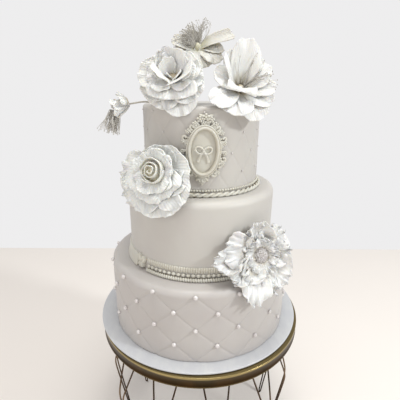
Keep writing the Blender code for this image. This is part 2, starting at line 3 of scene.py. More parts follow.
import bpy
import numpy as np
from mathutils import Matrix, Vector


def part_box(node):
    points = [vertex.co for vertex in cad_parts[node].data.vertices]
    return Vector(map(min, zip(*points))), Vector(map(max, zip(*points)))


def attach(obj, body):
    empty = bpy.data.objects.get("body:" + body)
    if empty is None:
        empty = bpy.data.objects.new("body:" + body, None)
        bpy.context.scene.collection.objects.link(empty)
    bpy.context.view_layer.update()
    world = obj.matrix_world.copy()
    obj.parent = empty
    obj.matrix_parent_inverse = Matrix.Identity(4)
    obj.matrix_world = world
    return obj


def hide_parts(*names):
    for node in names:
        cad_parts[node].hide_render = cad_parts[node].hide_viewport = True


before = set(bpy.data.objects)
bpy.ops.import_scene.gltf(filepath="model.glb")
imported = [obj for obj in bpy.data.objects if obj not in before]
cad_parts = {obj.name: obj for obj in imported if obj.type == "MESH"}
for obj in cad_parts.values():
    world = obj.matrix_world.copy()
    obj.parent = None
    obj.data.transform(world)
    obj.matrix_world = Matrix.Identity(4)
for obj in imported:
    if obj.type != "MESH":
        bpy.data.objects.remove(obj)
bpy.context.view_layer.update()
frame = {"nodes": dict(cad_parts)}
nodes = frame["nodes"]
print("frame loaded:", len(nodes), "nodes")


# Shader graphs

class Value:
    # A number from a shader socket. Arithmetic on it adds Math nodes.
    def __init__(self, graph, socket):
        self.graph = graph
        self.socket = socket

    def math(self, operation, *others):
        terms = dict(enumerate((self, *others)))
        return self.graph.add("ShaderNodeMath", {"operation": operation}, terms).out("Value")

    def reflected(self, operation, other):
        return self.graph.add("ShaderNodeMath", {"operation": operation}, {0: other, 1: self}).out("Value")

    def __add__(self, other):
        return self.math("ADD", other)

    def __radd__(self, other):
        return self.reflected("ADD", other)

    def __sub__(self, other):
        return self.math("SUBTRACT", other)

    def __rsub__(self, other):
        return self.reflected("SUBTRACT", other)

    def __mul__(self, other):
        return self.math("MULTIPLY", other)

    def __rmul__(self, other):
        return self.reflected("MULTIPLY", other)

    def __truediv__(self, other):
        return self.math("DIVIDE", other)

    def __rtruediv__(self, other):
        return self.reflected("DIVIDE", other)

    def __pow__(self, other):
        return self.math("POWER", other)

    def sine(self):
        return self.math("SINE")

    def clamped(self):
        return self.math("MAXIMUM", 0.0).math("MINIMUM", 1.0)

    def between(self, low, high):
        # 0 at low, 1 at high, eased at both ends
        part = {"Value": self, "From Min": low, "From Max": high}
        return self.graph.add("ShaderNodeMapRange", {"interpolation_type": "SMOOTHSTEP"}, part).out("Result")


class Made:
    # A node just added, whose outputs are asked for by name.
    def __init__(self, graph, node):
        self.graph = graph
        self.node = node

    def out(self, name):
        return Value(self.graph, self.node.outputs[name])


class Graph:
    # A material's node tree, filled node by node.
    def __init__(self, name):
        self.material = bpy.data.materials.new(name)
        self.material.use_nodes = True
        self.tree = self.material.node_tree
        self.shader = self.tree.nodes["Principled BSDF"]

    def add(self, kind, settings=None, values=None):
        node = self.tree.nodes.new(kind)
        for key, setting in (settings or {}).items():
            if key == "stops":
                ramp = node.color_ramp
                for spot, (place, colour) in enumerate(setting):
                    stop = ramp.elements[spot] if spot < 2 else ramp.elements.new(place)
                    stop.position = place
                    stop.color = (*colour, 1.0)
            else:
                setattr(node, key, setting)
        for key, value in (values or {}).items():
            self.feed(node.inputs[key], value)
        return Made(self, node)

    def feed(self, socket, value):
        if isinstance(value, Value):
            self.tree.links.new(value.socket, socket)
        else:
            socket.default_value = value

    def surface(self, **values):
        for key, value in values.items():
            self.feed(self.shader.inputs[key.replace("_", " ")], value)
        return self.material

    def place(self, scale=1.0):
        # object coordinates, stretched
        coordinate = self.add("ShaderNodeTexCoord").out("Object")
        size = (scale, scale, scale) if not isinstance(scale, tuple) else scale
        return self.add("ShaderNodeMapping", None, {"Vector": coordinate, "Scale": size}).out("Vector")

    def noise(self, scale, detail=3.0, roughness=0.5, at=None):
        values = {"Vector": at or self.place(), "Scale": scale, "Detail": detail, "Roughness": roughness}
        return self.add("ShaderNodeTexNoise", None, values).out("Fac")

    def cells(self, scale, at=None):
        return self.add("ShaderNodeTexVoronoi", None, {"Vector": at or self.place(), "Scale": scale})

    def mixed(self, share, first, second):
        settings = {"data_type": "RGBA", "clamp_factor": True}
        node = self.add("ShaderNodeMix", settings)
        self.feed(node.node.inputs["Factor"], share)
        for socket, colour in ((node.node.inputs[6], first), (node.node.inputs[7], second)):
            self.feed(socket, colour if isinstance(colour, Value) else (*colour, 1.0))
        return Value(self, node.node.outputs[2])

    def attribute(self, name):
        return self.add("ShaderNodeAttribute", {"attribute_name": name}).out("Fac")

    def bump(self, height, distance, strength=1.0, over=None):
        values = {"Height": height, "Distance": distance, "Strength": strength}
        if over:
            values["Normal"] = over
        return self.add("ShaderNodeBump", None, values).out("Normal")


def fondantMaterial(name, look):
    # rolled icing: faint mottling, a dry skin with a fine grain, and broad smoothing marks, darkened by painted shade
    # where a piece's recess value is high
    graph = Graph(name)
    mottle = graph.noise(look["mottle"], 4.0)
    grain = graph.noise(look["grain"], 2.0)
    marks = graph.noise(1.0, 2.0, at=graph.place((14.0, 14.0, 46.0)))
    colour = graph.mixed(mottle.between(0.35, 0.68), look["shade"], look["light"])
    # painted shade: the recess value mixes in the look's darker recess colour in grooves, creases and along feet
    colour = graph.mixed(graph.attribute("recess") * 0.75, colour, look["recess"])
    relief = graph.bump(marks, 0.0012, 0.22)
    relief = graph.bump(grain, 0.0001, 0.35, relief)
    return graph.surface(
        Base_Color=colour, Roughness=0.40 + 0.16 * mottle, Normal=relief,
        Subsurface_Weight=0.12, Subsurface_Radius=(0.006, 0.005, 0.0035), Subsurface_Scale=1.0,
        Sheen_Weight=0.10, Sheen_Roughness=0.4, Coat_Weight=0.06, Coat_Roughness=0.3)


def petalMaterial(name, look):
    # thin sugar petal: warm at its foot, partly the sugar's cream and partly painted shade, pearl dust over fine ribs
    # that fan out to its edge
    graph = Graph(name)
    spread = graph.add("ShaderNodeSeparateXYZ", None, {"Vector": graph.add("ShaderNodeUVMap").out("UV")})
    across, along = spread.out("X"), spread.out("Y")
    blotch = graph.noise(look["blotch"], 3.0)
    flecks = graph.cells(look["dust"]).out("Distance")
    dust = flecks.between(0.42, 0.10)
    ribs = (across * look["ribs"] + blotch * 5.0).sine() * 0.5 + 0.5
    # painted shade: the colour runs from the light colour at the lip to the warm colour at the root, which stands for
    # the shade in the flower's heart as well as a cream tint
    colour = graph.mixed(along.between(look["warmShadeTo"], 0.02), look["light"], look["warmShade"])
    colour = graph.mixed(blotch.between(0.50, 0.74) * look["coolShare"], colour, look["cool"])
    colour = graph.mixed(ribs * along * 0.10, colour, look["rib"])
    relief = graph.bump(ribs * along, 0.0007, look["ribDepth"])
    relief = graph.bump(flecks, 0.0003, look["sparkle"], relief)
    return graph.surface(
        Base_Color=colour, Roughness=0.46 - 0.24 * dust, Normal=relief, Metallic=dust * 0.10,
        Coat_Weight=0.35 * dust, Coat_Roughness=0.16, Sheen_Weight=0.15, Sheen_Roughness=0.35,
        Subsurface_Weight=0.22, Subsurface_Radius=(0.004, 0.003, 0.002), Subsurface_Scale=1.0)


def pearlMaterial(name, look):
    # pressed sugar pearl with a lustre skin
    graph = Graph(name)
    cloud = graph.noise(look["cloud"], 3.0)
    colour = graph.mixed(cloud.between(0.36, 0.66), look["light"], look["tint"])
    relief = graph.bump(graph.noise(2200.0, 2.0), 0.00006, 0.4)
    return graph.surface(Base_Color=colour, Roughness=0.20 + 0.16 * cloud, Normal=relief, Metallic=0.06,
                         Coat_Weight=0.5, Coat_Roughness=0.12, Subsurface_Weight=0.08,
                         Subsurface_Radius=(0.002, 0.002, 0.0015), Subsurface_Scale=1.0)


def boardMaterial():
    # card covered in white satin foil, with a faint pressed weave and light scuffs
    graph = Graph("whiteFoilBoard")
    scuff = graph.noise(1.0, 5.0, 0.65, graph.place((60.0, 22.0, 60.0)))
    weave = graph.cells(420.0).out("Distance")
    colour = graph.mixed(scuff.between(0.40, 0.70), (0.53, 0.54, 0.565), (0.58, 0.59, 0.60))
    relief = graph.bump(weave, 0.0002, 0.22)
    return graph.surface(Base_Color=colour, Roughness=0.30 + 0.22 * scuff, Normal=relief,
                         Coat_Weight=0.15, Coat_Roughness=0.25)


def metalMaterial(name, look):
    # brushed metal under an antique lacquer: brown in the hollows, gold where the edge value is high, partly rubbed
    # gilding and partly painted highlight
    graph = Graph(name)
    stain = graph.noise(38.0, 5.0, 0.6)
    brushing = graph.noise(1.0, 3.0, 0.6, graph.place((90.0, 90.0, 1500.0)))
    rubbedAndHighlight = graph.attribute("edge")
    colour = graph.mixed(stain.between(0.34, 0.70), look["dark"], look["lacquer"])
    colour = graph.mixed(rubbedAndHighlight, colour, look["gold"])
    relief = graph.bump(brushing, 0.0002, 0.25)
    return graph.surface(Base_Color=colour, Metallic=1.0, Normal=relief,
                         Roughness=(0.42 - 0.16 * rubbedAndHighlight) + 0.14 * (stain - 0.5), Coat_Weight=0.02,
                         Coat_Roughness=0.2)


# in each icing look, recess is the colour of painted shade, mixed in where a piece's recess value is high
fondantLook = {"light": (0.580, 0.562, 0.525), "shade": (0.552, 0.527, 0.496), "recess": (0.40, 0.36, 0.32),
               "mottle": 16.0, "grain": 1500.0}
# the bottom tier's icing: the same icing a step darker and more mauve, painted shade for the lowest tier
shadedQuiltLook = dict(fondantLook, light=(0.530, 0.506, 0.484), shade=(0.502, 0.474, 0.456))
mouldingLook = {"light": (0.680, 0.668, 0.600), "shade": (0.635, 0.615, 0.540), "recess": (0.42, 0.37, 0.27),
                "mottle": 45.0, "grain": 2400.0}
# a petal look's warm colour fills the petal from its root: partly the sugar's own cream, partly painted shade for the
# flower's heart; warmShadeTo is how far out it reaches
petalLook = {"light": (0.80, 0.80, 0.775), "warmShade": (0.62, 0.52, 0.33), "cool": (0.68, 0.655, 0.685),
             "rib": (0.62, 0.60, 0.57), "warmShadeTo": 0.45, "coolShare": 0.55, "blotch": 55.0, "dust": 1500.0,
             "ribs": 95.0, "ribDepth": 0.45, "sparkle": 0.18}
roseLook = dict(petalLook, light=(0.81, 0.82, 0.79), warmShade=(0.74, 0.69, 0.53))
# openLook: its warm colour is a dark olive, painted shadow in the magnolia's hollow
openLook = dict(petalLook, warmShade=(0.46, 0.39, 0.25), warmShadeTo=0.42)
# the lily's petals: the petal look made greyer and darker, painted shade for petals seen from their shaded side
shadedLilyLook = dict(petalLook, light=(0.66, 0.645, 0.595), warmShade=(0.66, 0.64, 0.50), cool=(0.58, 0.56, 0.55))
# ruffleLook: its warm colour is a dark olive reaching far out, painted shadow in the gaps between the wide bloom's
# petals
ruffleLook = dict(petalLook, light=(0.77, 0.77, 0.755), warmShade=(0.42, 0.34, 0.21), warmShadeTo=0.80, sparkle=0.35,
                  dust=1100.0, ribs=60.0)
pearlLook = {"light": (0.74, 0.72, 0.71), "tint": (0.62, 0.58, 0.57), "cloud": 240.0}
stamenLook = {"light": (0.62, 0.60, 0.56), "tint": (0.44, 0.42, 0.38), "cloud": 320.0}
tapeLook = {"light": (0.50, 0.48, 0.43), "shade": (0.42, 0.40, 0.36), "recess": (0.34, 0.32, 0.28),
            "mottle": 120.0, "grain": 1800.0}
# discLook: the near-black dark and lacquer are painted shade for the disc's wall; gold is partly rubbed gilding and
# partly painted highlight on the top face
discLook = {"dark": (0.010, 0.003, 0.0007), "lacquer": (0.036, 0.013, 0.003), "gold": (0.42, 0.33, 0.15)}
wireLook = {"dark": (0.040, 0.026, 0.018), "lacquer": (0.105, 0.066, 0.040), "gold": (0.30, 0.20, 0.11)}

fondant = fondantMaterial("ivoryFondant", fondantLook)
shadedQuiltIcing = fondantMaterial("shadedQuiltIcing", shadedQuiltLook)
moulding = fondantMaterial("sugarMoulding", mouldingLook)
flowerTape = fondantMaterial("flowerTape", tapeLook)
pearlPetal = petalMaterial("pearlPetal", petalLook)
rosePetal = petalMaterial("rosePetal", roseLook)
openPetal = petalMaterial("openPetal", openLook)
shadedLilyPetal = petalMaterial("shadedLilyPetal", shadedLilyLook)
rufflePetal = petalMaterial("rufflePetal", ruffleLook)
sugarPearl = pearlMaterial("sugarPearl", pearlLook)
stamenSugar = pearlMaterial("stamenSugar", stamenLook)
boardFoil = boardMaterial()
discMetal = metalMaterial("antiqueDisc", discLook)
wireMetal = metalMaterial("antiqueWire", wireLook)
print("materials made")


# Mesh arrays. A shape is (points, faces, extra); extra holds a value for each point, by name.

def gridFaces(rows, columns, wrapRows=False, wrapColumns=False):
    # corner numbers of every cell in a rows x columns grid of points
    row = np.arange(rows if wrapRows else rows - 1)[:, None]
    column = np.arange(columns if wrapColumns else columns - 1)[None, :]
    nextRow, nextColumn = (row + 1) % rows, (column + 1) % columns
    corners = (row * columns + column, row * columns + nextColumn,
               nextRow * columns + nextColumn, nextRow * columns + column)
    return np.stack(corners, -1).reshape(-1, 4)


def joined(shapes):
    # several shapes as one: their points in a row, their faces renumbered
    points, faces, extras, start = [], [], [], 0
    for shapePoints, shapeFaces, extra in shapes:
        points.append(shapePoints)
        extras.append(extra)
        faces += [(np.asarray(face) + start) for face in shapeFaces]
        start += len(shapePoints)
    names = set().union(*[set(extra) for extra in extras])
    together = {}
    for name in names:
        size = next(extra[name] for extra in extras if name in extra).shape[1:]
        together[name] = np.concatenate([
            extra.get(name, np.zeros((len(one),) + size)) for extra, one in zip(extras, points)])
    return np.concatenate(points), faces, together


def piece(name, shape, material, replaced=(), smooth=True):
    # a shape as an object that rides on the cake, in place of the CAD nodes named
    points, faces, extra = shape
    mesh = bpy.data.meshes.new(name)
    lists = []
    for block in faces:
        lists += block.tolist()
    mesh.from_pydata(points.tolist(), [], lists)
    mesh.update()
    corners = np.concatenate([np.asarray(block).reshape(-1) for block in faces])
    for key, values in extra.items():
        if key == "uv":
            layer = mesh.uv_layers.new(name="surface")
            layer.data.foreach_set("uv", values[corners].astype(np.float32).reshape(-1))
        else:
            layer = mesh.attributes.new(key, "FLOAT", "POINT")
            layer.data.foreach_set("value", values.astype(np.float32))
    if smooth:
        mesh.shade_smooth()
    mesh.materials.append(material)
    thing = bpy.data.objects.new(name, mesh)
    bpy.context.scene.collection.objects.link(thing)
    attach(thing, "root")
    for node in replaced:
        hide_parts(node)
    return thing


def unit(vectors):
    return vectors / np.maximum(np.linalg.norm(vectors, axis=-1, keepdims=True), 1e-12)


def wallPoint(bearing, radius, height):
    # the point at a bearing in degrees from the front, a distance from the axis and a height
    angle = np.radians(bearing)
    return np.stack(np.broadcast_arrays(radius * np.sin(angle), -radius * np.cos(angle), height), -1)


def tubes(paths, radii, sides=8, reference=(0.0, 0.0, 1.0), extra=None):
    # round tubes along paths of (tube, station, xyz): each ring lies across the path's direction
    paths = np.asarray(paths, float)
    count, stations = paths.shape[:2]
    radii = np.broadcast_to(radii, (count, stations))
    along = unit(np.gradient(paths, axis=1))
    first = unit(np.cross(along, np.broadcast_to(np.asarray(reference, float), paths.shape)))
    second = np.cross(first, along)
    turn = 2 * np.pi * np.arange(sides) / sides
    ring = first[:, :, None] * np.cos(turn)[:, None] + second[:, :, None] * np.sin(turn)[:, None]
    points = (paths[:, :, None] + ring * radii[:, :, None, None]).reshape(-1, 3)
    wall = gridFaces(stations, sides, wrapColumns=True)[:, ::-1]
    starts = np.arange(count) * stations * sides
    faces = (wall[None] + starts[:, None, None]).reshape(-1, 4)
    near = starts[:, None] + np.arange(sides)
    far = starts[:, None] + (stations - 1) * sides + np.arange(sides)[::-1]
    return points, [faces, near, far], extra or {}


def beads(centres, sizes, axes=None, rings=6, segments=10):
    # ellipsoids: a globe of rings and segments, scaled by sizes along axes and set at each centre
    polar = np.pi * np.arange(1, rings) / rings
    turn = 2 * np.pi * np.arange(segments) / segments
    globe = np.stack([np.sin(polar)[:, None] * np.cos(turn), np.sin(polar)[:, None] * np.sin(turn),
                      np.cos(polar)[:, None] * np.ones(segments)], -1).reshape(-1, 3)
    globe = np.concatenate([globe, [[0.0, 0.0, 1.0], [0.0, 0.0, -1.0]]])
    centres, sizes = np.asarray(centres, float), np.broadcast_to(sizes, (len(centres), 3))
    local = globe[None] * sizes[:, None]
    if axes is not None:
        local = np.einsum("bpi,bij->bpj", local, axes)
    points = (centres[:, None] + local).reshape(-1, 3)
    body = gridFaces(rings - 1, segments, wrapColumns=True)[:, ::-1]
    step = np.arange(segments)
    top = np.stack([np.full(segments, len(globe) - 2), step, (step + 1) % segments], -1)
    low = (rings - 2) * segments
    bottom = np.stack([np.full(segments, len(globe) - 1), low + (step + 1) % segments, low + step], -1)
    starts = (np.arange(len(centres)) * len(globe))[:, None, None]
    return points, [(body[None] + starts).reshape(-1, 4), (top[None] + starts).reshape(-1, 3),
                    (bottom[None] + starts).reshape(-1, 3)], {}


def wallAxes(bearing):
    # for beads on a wall: rows are the directions along the wall, out of it and up
    angle = np.radians(bearing)
    zero, one = np.zeros_like(angle), np.ones_like(angle)
    return np.stack([np.stack([np.cos(angle), np.sin(angle), zero], -1),
                     np.stack([np.sin(angle), -np.cos(angle), zero], -1),
                     np.stack([zero, zero, one], -1)], -2)


# Stand and board

def nodeDisc(node):
    # centre, radius, foot and top of a round node
    low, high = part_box(node)
    return (low.x + high.x) / 2, (low.y + high.y) / 2, (high.x - low.x) / 2, low.z, high.z


def roundSolid(profile, centre=(0.0, 0.0), segments=192, relief=None, extra=None):
    # a closed profile of (radius, height) points from the top centre down and under, turned about the axis
    profile = np.asarray(profile, float)
    bearing = np.linspace(0.0, 360.0, segments, endpoint=False)
    radius, height = np.broadcast_arrays(profile[:, 0, None], profile[:, 1, None] + 0 * bearing)
    values = {}
    if relief is not None:
        radius, height, values = relief(np.broadcast_to(bearing, radius.shape), radius, height)
    points = wallPoint(bearing, radius, height).reshape(-1, 3) + (centre[0], centre[1], 0.0)
    rows = len(profile)
    wall = gridFaces(rows, segments, wrapColumns=True)[:, ::-1]
    top, bottom = np.arange(segments)[None], ((rows - 1) * segments + np.arange(segments)[::-1])[None]
    values = {key: value.reshape(-1) for key, value in values.items()}
    if extra:
        values.update({key: np.repeat(np.asarray(value, float), segments) for key, value in extra.items()})
    return points, [wall, top, bottom], values


def arc(centreRadius, centreHeight, size, start, end, steps):
    # points of a quarter round in a profile, angles in degrees up from the outward direction
    angle = np.radians(np.linspace(start, end, steps))
    return [(centreRadius + size * math.cos(a), centreHeight + size * math.sin(a)) for a in angle]


discShape = {"rounding": 0.0011, "bead": 0.0009, "nubs": 11, "nubSize": (0.0021, 0.0015, 0.0015)}


def makeDisc():
    # the disc: flat top, a rolled edge at its rim, and a straight wall with a second faint roll below; gold on the top
    # face and rim over a near-black wall, partly rubbed gilding and partly painted highlight and painted shade
    x, y, radius, foot, top = nodeDisc("stand_top")
    size = discShape["rounding"]
    profile = [(0.001, top), (radius - 0.012, top), (radius - 0.004, top)]
    profile += arc(radius - size, top - size, size, 90, 0, 7)
    profile += [(radius, top - 0.0030), (radius - 0.0004, top - 0.0036), (radius - 0.0004, foot + 0.0030),
                (radius, foot + 0.0024)]
    profile += arc(radius - size, foot + size, size, 0, -90, 6)
    profile += [(radius - 0.004, foot), (0.001, foot)]
    heights = np.array([point[1] for point in profile])
    # painted highlight and painted shade: the edge value makes the top face and rolled rim gold and leaves the wall
    # near black, as light falls; at the rim it is also rubbed gilding
    outside = np.array([point[0] for point in profile]) > radius - 0.020
    edge = np.exp(-((heights - top + 0.0012) / 0.0016) ** 2) * outside
    edge += 0.35 * np.exp(-((heights - foot - 0.0012) / 0.0012) ** 2) * outside
    shape = roundSolid(profile, (x, y), 256, extra={"edge": edge})
    return piece("standDisc", shape, discMetal, ["stand_top"])


wireShape = {"count": 11, "phase": 10.2, "radius": 0.0012, "head": (0.1171, 10.5), "shoulder": (0.1460, 2.2),
             "shoulderHeight": 0.124, "foot": (0.1233, 1.05), "stations": 64, "sides": 10}


def hairpinPath(bearing):
    # down one wire and up the other: straight from the disc to the shoulder, eased round it, in to the foot,
    # and round a small half circle at the floor
    look = wireShape
    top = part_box("stand_top")[0].z + 0.0004
    low = look["radius"]
    height = np.concatenate([np.linspace(top, low + 0.004, look["stations"]),
                             low + 0.0038 * np.cos(np.radians([20, 38, 56, 74, 90]))])
    shoulder = look["shoulderHeight"]
    soft = 0.009
    above = 0.5 * (height - shoulder + np.sqrt((height - shoulder) ** 2 + soft ** 2))
    below = 0.5 * (shoulder - height + np.sqrt((shoulder - height) ** 2 + soft ** 2))
    up, down = top - shoulder, shoulder - low
    radius = look["shoulder"][0] + (look["head"][0] - look["shoulder"][0]) * above / up
    radius += (look["foot"][0] - look["shoulder"][0]) * below / down
    half = look["shoulder"][1] + (look["head"][1] - look["shoulder"][1]) * above / up
    half += (look["foot"][1] - look["shoulder"][1]) * below / down
    half[-5:] *= np.cos(np.radians([8, 28, 48, 68, 84]))
    one = wallPoint(bearing - half, radius, height)
    other = wallPoint(bearing + half, radius, height)[::-1]
    return np.concatenate([one, other])


def makeHairpins():
    # each hairpin is one round wire, rubbed at its shoulder
    look = wireShape
    for number in range(look["count"]):
        bearing = look["phase"] + 360.0 * number / look["count"]
        path = hairpinPath(bearing)
        worn = np.exp(-((path[:, 2] - look["shoulderHeight"]) / 0.02) ** 2) * 0.5
        radial = wallPoint(bearing, 1.0, 0.0)
        shape = tubes(path[None], look["radius"], look["sides"], radial,
                      {"edge": np.repeat(worn, look["sides"])})
        name = f"standHairpin{number + 1:02d}"
        piece(name, shape, wireMetal, [f"stand_hairpin_{number + 1:02d}"])


def makeWelds():
    # a bead of weld where each wire meets the disc
    look = wireShape
    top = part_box("stand_top")[0].z
    bearings = look["phase"] + 360.0 * np.arange(look["count"]) / look["count"]
    bearings = np.concatenate([bearings - look["head"][1], bearings + look["head"][1]])
    centres = wallPoint(bearings, look["head"][0], top - 0.0006)
    shape = beads(centres, discShape["nubSize"], wallAxes(bearings))
    shape[2]["edge"] = np.zeros(len(shape[0]))
    piece("standWelds", shape, wireMetal)


def makeBoard():
    x, y, radius, foot, top = nodeDisc("cake_board")
    size = (top - foot) / 2
    profile = [(0.001, top), (radius * 0.6, top), (radius - 0.006, top)]
    profile += arc(radius - size, foot + size, size, 90, -90, 11)
    profile += [(radius - 0.006, foot), (0.001, foot)]
    piece("cakeBoard", roundSolid(profile, (x, y), 256), boardFoil, ["cake_board"])


makeDisc()
makeHairpins()
makeWelds()
makeBoard()
print("stand and board made")


# Tiers

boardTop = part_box("cake_board")[1].z
bottomQuilt = {"columns": 15, "bearing": -2.1, "height": boardTop + 0.0962, "rowStep": 0.0237,
               "groove": 0.00048, "grooveWidth": 0.0009, "puff": 0.00080, "fadeTop": 0.0985, "fadeBand": 0.007}
topQuilt = {"columns": 14, "bearing": 41.0, "height": boardTop + 0.2335, "rowStep": 0.0240,
            "groove": 0.00040, "grooveWidth": 0.0009, "puff": 0.00045, "fadeTop": 0.3085, "fadeBand": 0.006}


def quiltRelief(quilt, cellSize):
    # two families of diagonal grooves, with the icing puffed up inside each diamond between them
    def relief(bearing, radius, height):
        halfColumn = 180.0 / quilt["columns"]
        u = (bearing - quilt["bearing"]) / halfColumn
        v = (quilt["height"] - height) / quilt["rowStep"]
        first = np.abs((u + v + 1.0) % 2.0 - 1.0)
        second = np.abs((u - v + 1.0) % 2.0 - 1.0)
        width = quilt["grooveWidth"] / cellSize
        groove = np.maximum(np.exp(-(first / width) ** 2), np.exp(-(second / width) ** 2))
        puff = np.sin(0.5 * np.pi * first) ** 0.6 * np.sin(0.5 * np.pi * second) ** 0.6
        wall = 1.0 / (1.0 + np.exp((height - boardTop - quilt["fadeTop"]) / (quilt["fadeBand"] / 4)))
        outside = radius > radius.max() - 0.012
        change = (quilt["puff"] * (puff - 0.6) - quilt["groove"] * groove) * wall * outside
        return radius + change, height, {"recess": -0.35 * groove * wall * outside}
    return relief


def plainRelief(seed, size):
    # hand-smoothed icing: a few long soft waves round the wall
    phases = np.random.default_rng(seed).uniform(0, 2 * np.pi, 6)

    def relief(bearing, radius, height):
        angle = np.radians(bearing)
        wave = sum(np.sin((2 + k) * angle + phases[k] + height * (18 + 9 * k)) for k in range(6)) / 6
        wall = radius > radius.max() - 0.010
        # painted shade: the recess value rises along the foot of the wall, where it meets what it stands on
        foot = np.exp(-((height - height.min()) / 0.004) ** 2)
        return radius + size * wave * wall, height, {"recess": foot * wall * 0.5}
    return relief


def tierProfile(node, shoulder, rows):
    # top centre, a soft shoulder, the wall and the underside
    x, y, radius, foot, top = nodeDisc(node)
    profile = [(0.001, top), (radius * 0.5, top), (radius - 2.2 * shoulder, top)]
    profile += [(radius - shoulder * (1 + drop), top - shoulder * 0.02 * (1 - drop)) for drop in (0.8, 0.4)]
    profile += arc(radius - shoulder, top - shoulder, shoulder, 88, 0, 12)
    wall = np.linspace(top - shoulder, foot + 0.0008, rows)[1:]
    profile += [(radius, height) for height in wall]
    profile += [(radius - 0.0012, foot), (0.001, foot)]
    return profile, (x, y)


def makeTier(name, node, icing, shoulder, rows, segments, relief):
    profile, centre = tierProfile(node, shoulder, rows)
    shape = roundSolid(profile, centre, segments, relief)
    return piece(name, shape, icing, [node])


def cellSizeOf(quilt, radius):
    # distance between neighbouring parallel grooves, for half a lattice step
    across = math.radians(180.0 / quilt["columns"]) * radius
    return across * quilt["rowStep"] / math.hypot(across, quilt["rowStep"])


def quiltPearls(name, node, quilt, rows, size):
    # a pearl pressed in wherever two grooves cross
    x, y, radius, foot, top = nodeDisc(node)
    halfColumn = 180.0 / quilt["columns"]
    spots = [(quilt["bearing"] + halfColumn * (2 * column + row % 2), quilt["height"] - quilt["rowStep"] * row)
             for row in rows for column in range(quilt["columns"])]
    bearings, heights = np.array(spots).T
    randomSize = np.random.default_rng(7).uniform(0.92, 1.06, len(spots))
    centres = wallPoint(bearings, radius + size * 0.30, heights) + (x, y, 0.0)
    sizes = np.outer(randomSize, (size, size * 0.92, size))
    piece(name, beads(centres, sizes, wallAxes(bearings), 9, 14), sugarPearl)


# the bottom tier wears the darker copy of the icing, painted shade
makeTier("tierBottom", "tier_bottom", shadedQuiltIcing, 0.0080, 92, 600,
         quiltRelief(bottomQuilt, cellSizeOf(bottomQuilt, nodeDisc("tier_bottom")[2])))
makeTier("tierMiddle", "tier_middle", fondant, 0.0090, 40, 256, plainRelief(3, 0.00035))
makeTier("tierTop", "tier_top", fondant, 0.0055, 84, 448,
         quiltRelief(topQuilt, cellSizeOf(topQuilt, nodeDisc("tier_top")[2])))
quiltPearls("quiltPearlsBottom", "tier_bottom", bottomQuilt, range(0, 4), 0.0029)
quiltPearls("quiltPearlsTop", "tier_top", topQuilt, range(-3, 1), 0.0011)
print("tiers made")


# Borders

def footRadius(node):
    return nodeDisc(node)[2]


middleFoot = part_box("tier_middle")[0].z
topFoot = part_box("tier_top")[0].z
border = {"start": -42.0, "end": 180.0, "bandLift": 0.0113, "bandHeight": 0.0076, "bandDepth": 0.0026,
          "ribs": 127, "pearlLift": 0.0080, "pearlPitch": 0.0064, "pearlSize": (0.0025, 0.0022, 0.0022),
          "ropeLift": 0.0026, "ropePitch": 0.0032, "ropeSize": (0.0018, 0.0026, 0.0027)}


def makeRibbedBand():
    # a strap whose face is a row of upright rounded ribs: depth is the root of a sine along the wall
    look = border
    inner = footRadius("tier_middle") - 0.0006
    bearing = np.linspace(look["start"], look["end"], look["ribs"] * 8 + 1)
    rib = np.abs(np.sin(np.pi * look["ribs"] * (bearing - look["start"]) / (look["end"] - look["start"]))) ** 0.7
    around = np.radians(np.linspace(-90, 90, 11))
    out = np.concatenate([[0.0], np.cos(around) ** 0.6, [0.0]])
    up = np.concatenate([[-1.0], np.sin(around), [1.0]])
    lift = middleFoot + look["bandLift"] + look["bandHeight"] / 2
    depth = look["bandDepth"] * (0.62 + 0.38 * rib)[:, None] * out[None]
    half = look["bandHeight"] / 2 * (0.92 + 0.08 * rib)[:, None]
    points = wallPoint(bearing[:, None], inner + 0.0003 + depth, lift + half * up[None])
    rows, columns = points.shape[:2]
    # painted shade in the grooves between the ribs
    recess = np.repeat(1.0 - rib, columns)
    wall = gridFaces(rows, columns, wrapColumns=True)
    caps = [np.arange(columns)[None, ::-1], ((rows - 1) * columns + np.arange(columns))[None]]
    shape = points.reshape(-1, 3), [wall, *caps], {"recess": recess * 0.8}
    piece("borderRibbedBand", shape, moulding, ["border_ribbed_band"])


def rowBearings(radius, pitch, start, end):
    count = int(round(math.radians(end - start) * radius / pitch))
    return start + (end - start) * (np.arange(count) + 0.5) / count


def makePearlString():
    # a string of long pearls on a thin cord below the band
    look = border
    radius = footRadius("tier_middle") + 0.0014
    height = middleFoot + look["pearlLift"]
    bearings = rowBearings(radius, look["pearlPitch"], look["start"], look["end"])
    pearls = beads(wallPoint(bearings, radius, height), look["pearlSize"], wallAxes(bearings), 8, 12)
    bearing = np.linspace(look["start"], look["end"], 240)
    cord = tubes(wallPoint(bearing, radius - 0.0005, height)[None], 0.0006, 6)
    piece("borderPearlString", joined([pearls, cord]), moulding)


